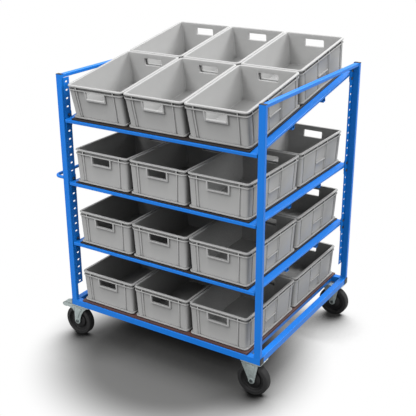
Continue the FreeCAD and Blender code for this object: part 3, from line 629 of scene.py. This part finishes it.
def makeContainer():
    s = container
    bm = bmesh.new()
    bmesh.ops.create_grid(bm, x_segments=1, y_segments=1, size=0.5)
    bmesh.ops.scale(bm, vec=(s["width"] * mm, s["length"] * mm, 1), verts=bm.verts)
    roundOff(bm, list(bm.verts), s["cornerRadius"], s["cornerSteps"], affect="VERTICES")
    bmesh.ops.reverse_faces(bm, faces=bm.faces)
    inset = s["outline"][0][0]
    for vert in bm.verts:
        vert.co -= outwardOf(vert) * inset * mm
    ring = list(bm.edges)
    for nextInset, height in s["outline"][1:]:
        grown = bmesh.ops.extrude_edge_only(bm, edges=ring)["geom"]
        ring = only(grown, bmesh.types.BMEdge)
        for vert in only(grown, bmesh.types.BMVert):
            vert.co += outwardOf(vert) * (inset - nextInset) * mm
            vert.co.z = height * mm
        inset = nextInset
    bmesh.ops.contextual_create(bm, geom=ring)
    bmesh.ops.recalc_face_normals(bm, faces=bm.faces)
    for side in (-1, 1):
        shapeEndWall(bm, Vector((0, side, 0)))
    for side in (-1, 1):
        shapeSideWall(bm, Vector((side, 0, 0)))
    leanWalls(bm)
    softenEdges(bm, s["edge"], angle=40)
    return bm


def placeContainers():
    # Twenty-four copies of one moulding, set where the frame's containers stand
    master = makeContainer()
    print("container moulding,", len(master.faces), "faces")
    for name in sorted(nodes):
        if not name.startswith("container_"):
            continue
        tilt = shelfTilt if "_top_" in name else 0
        level = Matrix.Rotation(-tilt, 3, "X")
        points = [level @ (nodes[name].matrix_world @ vert.co) for vert in nodes[name].data.vertices]
        low = [min(point[i] for point in points) for i in range(3)]
        high = [max(point[i] for point in points) for i in range(3)]
        base = Matrix.Translation(((low[0] + high[0]) / 2, (low[1] + high[1]) / 2, low[2]))
        copy = master.copy()
        copy.transform(Matrix.Rotation(tilt, 4, "X") @ base)
        piece = newPiece(pieceName("moulded", name), copy, "grey", container["smooth"])
        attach(piece, name)
        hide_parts(name)
    master.free()


placeContainers()
print("containers placed")


# Wheels in mm: solid rubber tyre on a dished black body, whose half outline is given as (radius, offset)
wheel = {
    "radius": 100, "halfWidth": 25, "steps": 96, "seat": 70.05, "shoulder": 9, "shoulderSteps": 6,
    "lip": 73, "lipFlare": 2.5, "lipSink": 13, "markInner": 84, "markOuter": 88, "markSlope": 0.8,
    "markSink": 0.7, "tyreEdge": 0.4, "bodyEdge": 0.8,
    "body": [(6.05, 28.7), (19, 28.7), (22, 27), (23, 20), (27, 18.5), (46, 17), (50, 15), (52.5, 6), (66, 6),
             (67.5, 9), (70, 9)],
}


def bothSides(half):
    return half + [(radius, -offset) for radius, offset in reversed(half)]


def makeTyre():
    s = wheel
    half = s["halfWidth"]
    sunk = half - s["lipSink"]
    mark = half - s["markSink"]
    inner, outer, slope = s["markInner"], s["markOuter"], s["markSlope"]
    side = [(s["seat"], sunk), (s["lip"], sunk), (s["lip"] + s["lipFlare"], half), (inner, half),
            (inner + slope, mark), (outer - slope, mark), (outer, half), (s["radius"], half)]
    ring = spunRing(bothSides(side), s["steps"])
    shoulder = []
    for edge in ring.edges:
        radii = [math.hypot(vert.co.x, vert.co.z) / mm for vert in edge.verts]
        level = abs(edge.verts[0].co.y - edge.verts[1].co.y) < 1e-6
        if min(radii) > s["radius"] - 0.5 and level:
            shoulder.append(edge)
    roundOff(ring, shoulder, s["shoulder"], s["shoulderSteps"])
    softenEdges(ring, s["tyreEdge"])
    return ring


def makeWheelBody():
    ring = spunRing(bothSides(wheel["body"]), wheel["steps"])
    softenEdges(ring, wheel["bodyEdge"], angle=25)
    return ring


def placeWheels():
    for side in ("swivel", "fixed"):
        for end in ends:
            place = Matrix.Translation(middleOf("tyre_%s_%s" % (side, end)))
            for make, kind, slotName, finish in ((makeTyre, "tyre", "tyre_rubber", "tyre"),
                                                 (makeWheelBody, "wheel_rim", "wheel_polyamide", "wheel")):
                bm = make()
                bm.transform(place)
                node = "%s_%s_%s" % (kind, side, end)
                settle(pieceName("turned", node), bm, finish, node)


placeWheels()
print("wheels turned")


# Pressed forks in mm from the axle: x along the trolley, y from the wheel's middle plane, z from the floor
fork = {
    "outside": 33, "sheet": 4, "edge": 0.9, "bend": 9, "bendSteps": 6, "axle": 100, "endRadius": 21,
    "endSteps": 8, "fixedTop": 225, "fixedEndAngle": 100, "shoulders": (-67, 40), "shoulderDrop": 24,
    "swivelTop": 215, "swivelEndAngle": 90, "crownMiddle": 50, "crownRadius": 45, "crownShoulder": 80.6,
    "sweep": (32.8, 173), "sweepSteps": 10, "pivot": (-35, 206), "pinRadius": 3, "pinChamfer": 0.3,
    "rivetRadius": 5, "rivetRaise": 1.5, "rivetChamfer": 0.8,
    "arm": [(-17, 154), (-17, 215), (-35, 215), (-58, 212), (-74, 207), (-83, 201), (-86, 196), (-83, 191),
            (-74, 188.5), (-60, 187), (-46, 184), (-35, 179), (-27.5, 172), (-23, 163)],
    "fixedRidge": [(-9, 122), (10, 122), (22, 206), (-34, 206)],
    "swivelRidge": [(-10, 122), (9, 122), (20, 160), (44, 196), (-10, 196)],
    "ridgeRaise": 3.4, "ridgeRoot": 1, "ridgeEase": 1.8, "ridgeSteps": 3,
    "washerRadius": 14.5, "washerHeight": 1.6, "washerRoot": 0.5, "washerChamfer": 0.6,
}


def overAxle(side, end):
    # From the origin to the floor under a wheel's axle
    axle = middleOf("tyre_%s_%s" % (side, end))
    return Matrix.Translation((axle.x, axle.y, 0))


def endRows(lastAngle):
    # Rounded lower end of a leg as (height, left, right), up to an angle from straight down
    s = fork
    rows = []
    for step in range(1, s["endSteps"] + 1):
        angle = math.radians(lastAngle * step / s["endSteps"])
        reach = s["endRadius"] * math.sin(angle)
        rows.append((s["axle"] - s["endRadius"] * math.cos(angle), -reach, reach))
    return rows


def fixedRows():
    # The sides leave the round end at a slant, up to the shoulders
    s = fork
    heights = (s["fixedTop"] - s["shoulderDrop"], s["fixedTop"] - s["bend"])
    return endRows(s["fixedEndAngle"]) + [(height, *s["shoulders"]) for height in heights]


def swivelRows():
    # One side stays upright and the other sweeps out to the crown along a curve
    s = fork
    rows = endRows(s["swivelEndAngle"])
    curve = ((s["endRadius"], s["axle"]), s["sweep"], (s["crownShoulder"], s["swivelTop"] - s["bend"]))
    for step in range(1, s["sweepSteps"] + 1):
        t = step / s["sweepSteps"]
        weights = ((1 - t) ** 2, 2 * t * (1 - t), t ** 2)
        x, z = [sum(weight * point[i] for weight, point in zip(weights, curve)) for i in range(2)]
        rows.append((z, -s["endRadius"], x))
    return rows


def forkStrip(legRows, top, crown):
    # One bent sheet: up the near leg, over the crown and down the far leg
    s = fork
    path = [(-s["outside"], z, left, right) for z, left, right in legRows]
    for step in range(1, s["bendSteps"] + 1):
        angle = math.radians(90 * step / s["bendSteps"])
        y = -s["outside"] + s["bend"] * (1 - math.cos(angle))
        path.append((y, top - s["bend"] * (1 - math.sin(angle)), *legRows[-1][1:]))
    path.append((0, top, *crown))
    path += [(-y, z, left, right) for y, z, left, right in reversed(path[:-1])]
    bm = bmesh.new()
    borders = []
    for side in (2, 3):
        line = [bm.verts.new((row[side] * mm, row[0] * mm, row[1] * mm)) for row in path]
        borders += [bm.edges.new(pair) for pair in zip(line, line[1:])]
    bmesh.ops.bridge_loops(bm, edges=borders)
    bendSheet(bm, s["sheet"], s["edge"])
    return bm


def addLegDetails(bm, ridge):
    # Raised ridge and a washer at the axle on the outside of both legs
    s = fork
    for side in (-1, 1):
        low, high = sorted((side * (s["outside"] - s["ridgeRoot"]), side * (s["outside"] + s["ridgeRaise"])))
        raised = prism(ridge, low, high)
        softenEdges(raised, s["ridgeEase"], angle=40, steps=s["ridgeSteps"])
        join(bm, raised)
        seat = (0, side * (s["outside"] - s["washerRoot"]) * mm, s["axle"] * mm)
        washer = bar(s["washerRadius"], s["washerHeight"] + s["washerRoot"], s["washerChamfer"])
        join(bm, washer, pointing(seat, (0, side, 0)))


# Top plates in mm, with rounded corners
casterPlate = {"length": 135, "width": 105, "thickness": 5, "corner": 9, "cornerSteps": 5, "edge": 0.8}


def addTopPlate(bm, middleX, bottom):
    s = casterPlate
    half = Vector((s["length"], s["width"], s["thickness"])) * mm / 2
    plate = block(-half, half)
    corners = [edge for edge in plate.edges if abs(edge.verts[0].co.z - edge.verts[1].co.z) > half.z]
    roundOff(plate, corners, s["corner"], s["cornerSteps"])
    softenEdges(plate, s["edge"], angle=60)
    join(bm, plate, Matrix.Translation((middleX * mm, 0, (bottom + s["thickness"] / 2) * mm)))


def makeFixedForks():
    s = fork
    bm = bmesh.new()
    for end in ends:
        part = forkStrip(fixedRows(), s["fixedTop"], s["shoulders"])
        addLegDetails(part, s["fixedRidge"])
        addTopPlate(part, 0, s["fixedTop"])
        join(bm, part, overAxle("fixed", end))
    settle("pressedFixedForks", bm, "zinc", "fixed_forks")


def addPedalArms(bm):
    # Two arms that carry the pedal's pin, which is riveted over outside them
    s = fork
    x, z = s["pivot"]
    inside = s["outside"] - s["sheet"]
    for side in (-1, 1):
        low, high = sorted((side * s["outside"], side * inside))
        arm = prism(s["arm"], low, high)
        softenEdges(arm, s["edge"], angle=60)
        join(bm, arm)
        rivet = bar(s["rivetRadius"], s["sheet"] + s["rivetRaise"], s["rivetChamfer"])
        join(bm, rivet, pointing((x * mm, side * inside * mm, z * mm), (0, side, 0)))
    reach = s["outside"] - s["sheet"] / 2
    pin = bar(s["pinRadius"], 2 * reach, s["pinChamfer"])
    join(bm, pin, pointing((x * mm, -reach * mm, z * mm), (0, 1, 0)))


def makeSwivelForks():
    s = fork
    crown = (s["crownMiddle"] - s["crownRadius"], s["crownMiddle"] + s["crownRadius"])
    for end in ends:
        part = forkStrip(swivelRows(), s["swivelTop"], crown)
        addLegDetails(part, s["swivelRidge"])
        addPedalArms(part)
        part.transform(overAxle("swivel", end))
        node = "swivel_fork_" + end
        settle(pieceName("pressed", node), part, "zinc", node)


# Swivel heads in mm from the axle: plate, king pin head and the ball race's two cups as (radius, height)
swivelHead = {"pinRadius": 14, "pinHeadHeight": 6, "pinHeadTop": 209.7, "pinChamfer": 2, "raceSteps": 72,
              "race": [(8.05, 0.3), (30, 0.3), (36, 2), (36, 4.2), (34, 4.8), (34, 5.6), (36, 6.2), (36, 8.6),
                       (33, 10), (8.05, 10)]}


def makeSwivelHeads():
    s = swivelHead
    middle = fork["crownMiddle"]
    plates = bmesh.new()
    races = bmesh.new()
    for end in ends:
        place = overAxle("swivel", end)
        part = bmesh.new()
        addTopPlate(part, middle, fork["fixedTop"])
        pinHead = bar(s["pinRadius"], s["pinHeadHeight"], s["pinChamfer"])
        join(part, pinHead, pointing((middle * mm, 0, s["pinHeadTop"] * mm), (0, 0, -1)))
        join(plates, part, place)
        lift = Matrix.Translation((middle * mm, 0, fork["swivelTop"] * mm))
        turn = Matrix.Rotation(math.radians(90), 4, "X")
        join(races, spunRing(s["race"], s["raceSteps"]), place @ lift @ turn)
    settle("swivelTopPlates", plates, "zinc", "swivel_plates")
    settle("ballRaces", races, "bolt", "swivel_races")


# Brake pedals in mm from the axle: rolled tread with grip bars, two cheeks and the brake pad
pedal = {
    "halfWidth": 25, "sheet": 4, "edge": 0.9, "cheekEdge": 0.8, "hubRadius": 6.5, "hubChamfer": 0.5,
    "tread": [(-35, 212.5), (-51, 213.4), (-67.2, 213.5), (-82, 213.1), (-95, 212), (-106, 210),
              (-115, 206.8), (-122, 202.4), (-126, 197), (-127, 191.5)],
    "cheek": [(-125.6, 186.5), (-121, 182.2), (-114, 179.6), (-105, 178.8), (-94, 180.4), (-82, 184.4),
              (-70, 189), (-35, 199.5)],
    "bars": 5, "barStart": -58, "barPitch": 9, "barWidth": 3.4, "barMargin": 7, "barRoot": 2,
    "barHeight": 0.9, "barSeek": 8, "barEdge": 0.6,
    "padLength": 12, "padHalfWidth": 20, "padBottom": 195.1, "padEdge": 0.7,
}


def treadSheet():
    s = pedal
    bm = bmesh.new()
    line = [bm.verts.new((x * mm, -s["halfWidth"] * mm, z * mm)) for x, z in s["tread"]]
    edges = [bm.edges.new(pair) for pair in zip(line, line[1:])]
    grown = bmesh.ops.extrude_edge_only(bm, edges=edges)["geom"]
    bmesh.ops.translate(bm, vec=(0, 2 * s["halfWidth"] * mm, 0), verts=only(grown, bmesh.types.BMVert))
    bendSheet(bm, s["sheet"], s["edge"])
    return bm


def addGripBars(bm):
    # Each bar stands on the highest of the tread's points that lie beside or beyond it
    s = pedal
    reach = s["halfWidth"] - s["barMargin"]
    for step in range(s["bars"]):
        middle = s["barStart"] - step * s["barPitch"]
        surface = max(z for x, z in s["tread"] if x <= middle + s["barSeek"])
        low = Vector((middle - s["barWidth"] / 2, -reach, surface - s["barRoot"])) * mm
        high = Vector((middle + s["barWidth"] / 2, reach, surface + s["barHeight"])) * mm
        join(bm, slab(low, high, s["barEdge"]))


def makePedals():
    s = pedal
    half = s["halfWidth"]
    x, z = fork["pivot"]
    for end in ends:
        part = treadSheet()
        for low, high in ((-half, -half + s["sheet"]), (half - s["sheet"], half)):
            cheek = prism(s["tread"] + s["cheek"], low, high)
            softenEdges(cheek, s["cheekEdge"], angle=60)
            join(part, cheek)
        addGripBars(part)
        hub = bar(s["hubRadius"], 2 * half, s["hubChamfer"])
        join(part, hub, pointing((x * mm, -half * mm, z * mm), (0, 1, 0)))
        low = Vector((x - s["padLength"], -s["padHalfWidth"], s["padBottom"])) * mm
        high = Vector((x, s["padHalfWidth"], z)) * mm
        join(part, slab(low, high, s["padEdge"]))
        part.transform(overAxle("swivel", end))
        settle("rolledPedal" + end.title(), part, "zinc", "brake_pedal_" + end)


makeFixedForks()
makeSwivelForks()
makeSwivelHeads()
makePedals()
print("casters pressed")


# Bolts and nuts in mm, set where the frame's fasteners stand, of which those up to boltOver long are nuts
fasteners = {
    "chamfer": 0.8, "tail": 1.2, "topTurn": 1.6, "edge": 0.35,
    "shelf": {"axis": 0, "across": 17, "head": 6.5, "radius": 5, "boltOver": 15},
    "caster": {"axis": 2, "across": 13, "head": 5.3, "radius": 4, "boltOver": 0},
    "axle": {"axis": 1, "across": 19, "head": 7, "radius": 6, "boltOver": 30},
    "pieces": [("shelfFasteners", "shelf_bolts", "shelf"), ("casterFasteners", "caster_bolts", "caster"),
               ("fittedFixedAxles", "fixed_axles", "axle"),
               ("fittedSwivelAxleFront", "swivel_axle_front", "axle"),
               ("fittedSwivelAxleRear", "swivel_axle_rear", "axle")],
}


def hexHead(across, height):
    # Hexagon along Z from the origin, its top turned down to a disc
    s = fasteners
    flat = (height - s["chamfer"]) * mm
    radius = across * mm / math.sqrt(3)
    bm = bmesh.new()
    bmesh.ops.create_cone(bm, cap_ends=True, segments=6, radius1=radius, radius2=radius, depth=flat,
                          matrix=Matrix.Translation((0, 0, flat / 2)))
    bm.normal_update()
    top = [face for face in bm.faces if face.normal.z > 0.9]
    bmesh.ops.inset_region(bm, faces=top, thickness=s["topTurn"] * s["chamfer"] * mm, depth=s["chamfer"] * mm)
    softenEdges(bm, s["edge"], angle=50, steps=1)
    return bm


def addFastener(bm, low, high, kind):
    # Bolt or nut in the box of a CAD fastener, with bolt heads outwards and those of upright bolts below
    axis = kind["axis"]
    length = (high - low)[axis] / mm
    isBolt = length > kind["boltOver"]
    fromLow = axis == 2 or (low[axis] < 0) == isBolt
    start = (low + high) / 2
    start[axis] = low[axis] if fromLow else high[axis]
    inward = Vector((0, 0, 0))
    inward[axis] = 1 if fromLow else -1
    if not isBolt:
        join(bm, hexHead(kind["across"], length), pointing(start, inward))
        return
    seat = start + inward * kind["head"] * mm
    join(bm, hexHead(kind["across"], kind["head"]), pointing(seat, -inward))
    join(bm, bar(kind["radius"], length - kind["head"], fasteners["tail"]), pointing(seat, inward))


def makeFasteners():
    for name, node, kind in fasteners["pieces"]:
        bm = bmesh.new()
        for low, high in islandBoxes(node):
            addFastener(bm, low, high, fasteners[kind])
        settle(name, bm, "bolt", node)


makeFasteners()
print("fasteners set")


# End plugs and post caps in mm: thin moulded lids with soft edges
plugs = {"lid": 3, "edge": 1.1, "edgeSteps": 3, "plugOver": 30}


def makePlugs():
    bm = bmesh.new()
    for low, high in islandBoxes("tube_plugs"):
        if (high - low).z < plugs["plugOver"] * mm:
            low.z = high.z - plugs["lid"] * mm
        elif low.x < 0:
            high.x = low.x + plugs["lid"] * mm
        else:
            low.x = high.x - plugs["lid"] * mm
        join(bm, slab(low, high, plugs["edge"], plugs["edgeSteps"]))
    settle("mouldedPlugs", bm, "plug", "tube_plugs")


makePlugs()


# Boards in mm with eased edges
boards = {"thickness": 8, "edge": 0.8}


def makeBoards():
    for node, finish, slotName in (("deck_board", "deck", "deck_plywood"),
                                   ("shelf_board_lower", "shelf", "shelf_plywood"),
                                   ("shelf_board_middle", "shelf", "shelf_plywood"),
                                   ("shelf_board_top", "tiltedShelf", "shelf_plywood")):
        low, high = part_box(node)
        if node == "shelf_board_top":
            thickness = boards["thickness"] * mm
            length = ((high - low).y - thickness * math.sin(shelfTilt)) / math.cos(shelfTilt)
            half = Vector(((high - low).x, length, thickness)) / 2
            bm = slab(-half, half, boards["edge"])
            bm.transform(Matrix.Translation((low + high) / 2) @ Matrix.Rotation(shelfTilt, 4, "X"))
        else:
            bm = slab(low, high, boards["edge"])
        settle(pieceName("eased", node), bm, finish, node)


makeBoards()
print("plugs and boards made")


# Push handle in mm: one bar bent twice, spun through its bends
handle = {"radius": 10, "bend": 40, "barSides": 28, "bendSteps": 10, "smooth": 40}


def runRing(bm, ring, vec):
    grown = bmesh.ops.extrude_edge_only(bm, edges=ring)["geom"]
    bmesh.ops.translate(bm, vec=vec, verts=only(grown, bmesh.types.BMVert))
    return only(grown, bmesh.types.BMEdge)


def turnRing(bm, ring, middle):
    verts = list({vert for edge in ring for vert in edge.verts})
    grown = bmesh.ops.spin(bm, geom=verts + ring, cent=middle, axis=(0, 0, 1), angle=-math.pi / 2,
                           steps=handle["bendSteps"])["geom_last"]
    return only(grown, bmesh.types.BMEdge)


def makeHandle():
    s = handle
    low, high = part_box("push_handle")
    radius = s["radius"] * mm
    bend = s["bend"] * mm
    frontY = low.y + radius
    rearY = high.y - radius
    turnX = low.x + radius + bend
    start = Matrix.Translation((high.x, frontY, (low.z + high.z) / 2))
    bm = bmesh.new()
    bmesh.ops.create_circle(bm, segments=s["barSides"], radius=radius,
                            matrix=start @ Matrix.Rotation(math.radians(90), 4, "Y"))
    ring = runRing(bm, list(bm.edges), (turnX - high.x, 0, 0))
    ring = turnRing(bm, ring, (turnX, frontY + bend, low.z))
    ring = runRing(bm, ring, (0, rearY - frontY - 2 * bend, 0))
    ring = turnRing(bm, ring, (turnX, rearY - bend, low.z))
    runRing(bm, ring, (high.x - turnX, 0, 0))
    bmesh.ops.remove_doubles(bm, verts=bm.verts, dist=1e-7)
    bmesh.ops.holes_fill(bm, edges=bm.edges)
    bmesh.ops.recalc_face_normals(bm, faces=bm.faces)
    settle("bentHandle", bm, "blue", "push_handle", s["smooth"])


makeHandle()


# Painted weld beads in mm: sloped skirts where posts, rails and handle meet
welds = {"leg": 4, "tuck": 0.3, "railSpread": 2.5, "collarSpread": 3, "collarSides": 28, "edge": 0.8,
         "smooth": 40}


def skirt(low, high, foot, axis, upward):
    # Frustum round a tube's end, its foot wider by the given amounts as (low, high) for each direction
    bm = block(low, high)
    base = low[axis] if upward else high[axis]
    for vert in bm.verts:
        if abs(vert.co[axis] - base) < 1e-6:
            for direction, (less, more) in foot.items():
                atLow = abs(vert.co[direction] - low[direction]) < 1e-6
                vert.co[direction] += -less * mm if atLow else more * mm
    softenEdges(bm, welds["edge"])
    return bm


def makeWelds():
    s = welds
    leg = s["leg"]
    bm = bmesh.new()
    for low, high in islandBoxes("uprights"):
        foot = {axis: (0, leg) if low[axis] < 0 else (leg, 0) for axis in (0, 1)}
        tucked = low + Vector((s["tuck"], s["tuck"], 0)) * mm
        join(bm, skirt(tucked, Vector((high.x, high.y, low.z + leg * mm)), foot, 2, True))
    for low, high in islandBoxes("top_rails"):
        foot = {0: (s["railSpread"], s["railSpread"]), 2: (leg, 0)}
        join(bm, skirt(low, Vector((high.x, low.y + leg * mm, high.z)), foot, 1, True))
        join(bm, skirt(Vector((low.x, high.y - leg * mm, low.z)), high, foot, 1, False))
    low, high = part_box("push_handle")
    radius = handle["radius"] * mm
    for y in (low.y + radius, high.y - radius):
        collar = bmesh.new()
        bmesh.ops.create_cone(collar, cap_ends=True, segments=s["collarSides"],
                              radius1=radius + s["collarSpread"] * mm, radius2=radius, depth=leg * mm)
        join(bm, collar, pointing((high.x - leg * mm / 2, y, (low.z + high.z) / 2), (-1, 0, 0)))
    piece = newPiece("weldBeads", bm, "blue", s["smooth"])
    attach(piece, "frame")


makeWelds()
print("handle bent, welds run")


# The frame's tubes, strips and plates keep their CAD shape and are powder coated
for node in nodes.values():
    if not node.hide_render:
        dress(node, "blue")
print("frame pieces dressed")


# Grey floor that keeps the trolley's shadow and meets a white surround, with painted shadow near the trolley
studio = {"floorSize": 60, "floorHex": "#7C7C7C", "floorWarmHex": "#787877", "driftMm": 1667,
          "contactMm": 400, "contactSpan": (0.42, 0.9), "contactTone": 0.02,
          "contactLean": (-0.36, 0.6, 0.71), "fadeMiddle": (0.06, -0.45), "fadeFrom": 0.5, "fadeTo": 1.0,
          "skyTop": 1.0, "skyHorizon": 0.1, "skyRamp": (0.02, 0.4)}


def shadowedFloorTone(tree, place):
    # Floor paint with a slow unevenness, times a painted contact shadow where the trolley closes in on it,
    # tilted along contactLean so that it reaches out like a cast shadow
    s = studio
    paint = clouded(tree, place, s["driftMm"], 2.0, s["floorHex"], s["floorWarmHex"])[1]
    lean = addNode(tree, "ShaderNodeCombineXYZ", dict(zip("XYZ", s["contactLean"]))).outputs[0]
    return paintedShading(tree, paint, s["contactMm"], s["contactSpan"], s["contactTone"], {"samples": 32},
                {"Normal": lean})


def whiteSurround(tree, shader, place, contactShadow):
    # Seen by the camera or in a reflection, the floor turns white away from the trolley
    s = studio
    rays = addNode(tree, "ShaderNodeLightPath")
    seen = addNode(tree, "ShaderNodeMath", {"operation": "MAXIMUM"}, {0: rays.outputs["Is Camera Ray"],
                                                                     1: rays.outputs["Is Glossy Ray"]})
    # The grey disc left round the trolley is set off to its front, where its grey is partly painted shadow
    away = addNode(tree, "ShaderNodeVectorMath", {"operation": "DISTANCE", 1: (*s["fadeMiddle"], 0)},
                   {0: place})
    fade = addNode(tree, "ShaderNodeMapRange", {"interpolation_type": "SMOOTHSTEP", "From Min": s["fadeFrom"],
                                                "From Max": s["fadeTo"]}, {"Value": away.outputs["Value"]})
    # The painted contact shadow stays dark within the white surround too
    clear = addNode(tree, "ShaderNodeMath", {"operation": "MULTIPLY"}, {0: fade.outputs[0], 1: contactShadow})
    share = addNode(tree, "ShaderNodeMath", {"operation": "MULTIPLY"},
                    {0: seen.outputs[0], 1: clear.outputs[0]})
    white = addNode(tree, "ShaderNodeEmission", {"Color": (1, 1, 1, 1), "Strength": 1.0})
    return addNode(tree, "ShaderNodeMixShader", links={0: share.outputs[0], 1: shader.outputs[0],
                                                       2: white.outputs[0]})


def buildFloor():
    bm = bmesh.new()
    bmesh.ops.create_grid(bm, x_segments=1, y_segments=1, size=studio["floorSize"] / 2)
    mesh = bpy.data.meshes.new("studioFloor")
    bm.to_mesh(mesh)
    bm.free()
    floor = bpy.data.objects.new("studioFloor", mesh)
    bpy.context.scene.collection.objects.link(floor)
    material, tree, shader, place = startMaterial("paleFloor", {"Roughness": 0.9, "Specular IOR Level": 0.0})
    tone, contactShadow = shadowedFloorTone(tree, place)
    tree.links.new(tone, shader.inputs["Base Color"])
    glow = whiteSurround(tree, shader, place, contactShadow)
    tree.links.new(glow.outputs[0], tree.nodes["Material Output"].inputs["Surface"])
    floor.data.materials.append(material)


def buildWorld():
    # A dome that is bright overhead and dim near the horizon, seen white by the camera
    s = studio
    world = bpy.data.worlds.new("studioWorld")
    bpy.context.scene.world = world
    world.use_nodes = True
    tree = world.node_tree
    tree.nodes.clear()
    rays = addNode(tree, "ShaderNodeLightPath")
    seen = addNode(tree, "ShaderNodeMath", {"operation": "MAXIMUM"}, {0: rays.outputs["Is Camera Ray"],
                                                                     1: rays.outputs["Is Transmission Ray"]})
    direction = addNode(tree, "ShaderNodeTexCoord").outputs["Generated"]
    rise = addNode(tree, "ShaderNodeSeparateXYZ", links={0: direction}).outputs["Z"]
    dome = addNode(tree, "ShaderNodeMapRange", {"From Min": s["skyRamp"][0], "From Max": s["skyRamp"][1],
                                                "To Min": s["skyHorizon"], "To Max": s["skyTop"]},
                   {"Value": rise})
    strength = addNode(tree, "ShaderNodeMix", {3: 1.0}, {0: seen.outputs[0], 2: dome.outputs[0]})
    sky = addNode(tree, "ShaderNodeBackground", {"Color": (1, 1, 1, 1)}, {"Strength": strength.outputs[0]})
    addNode(tree, "ShaderNodeOutputWorld", links={"Surface": sky.outputs[0]})


# Softboxes behind, before and to the right of the trolley, all aimed at its middle
softboxAim = (0, 0, 0.9)
softboxes = [
    {"name": "keySoftbox", "place": (1.5, 4.2, 6.4), "size": 2.8, "watts": 440},
    {"name": "frontSoftbox", "place": (-2.2, -6.2, 6.2), "size": 2.4, "watts": 270},
    {"name": "rightSoftbox", "place": (6.6, -1.0, 5.2), "size": 2.4, "watts": 105},
]


def hangSoftboxes():
    for s in softboxes:
        lamp = bpy.data.lights.new(s["name"], "AREA")
        lamp.size = s["size"]
        lamp.energy = s["watts"]
        holder = bpy.data.objects.new(s["name"], lamp)
        holder.location = s["place"]
        holder.rotation_euler = (Vector(softboxAim) - Vector(s["place"])).to_track_quat("-Z", "Y").to_euler()
        bpy.context.scene.collection.objects.link(holder)


# Photo camera: solved place and angles in degrees, with the lens for a square frame
photoView = {"place": (2.5908, -4.0734, 2.7559), "turn": 32.389, "down": 21.70, "roll": -0.24,
             "lensMm": 70.05}


def setCamera():
    s = photoView
    camera = bpy.data.cameras.new("photoCamera")
    camera.sensor_fit = "HORIZONTAL"
    camera.sensor_width = 36
    camera.lens = s["lensMm"]
    camera.clip_end = 200
    holder = bpy.data.objects.new("photoCamera", camera)
    stand = Matrix.Translation(s["place"])
    for degrees, axis in ((s["turn"], "Z"), (90 - s["down"], "X"), (s["roll"], "Z")):
        stand = stand @ Matrix.Rotation(math.radians(degrees), 4, axis)
    holder.matrix_world = stand
    bpy.context.scene.collection.objects.link(holder)
    bpy.context.scene.camera = holder


buildFloor()
buildWorld()
hangSoftboxes()
setCamera()
bpy.context.scene.view_settings.view_transform = "Standard"
print("studio ready")
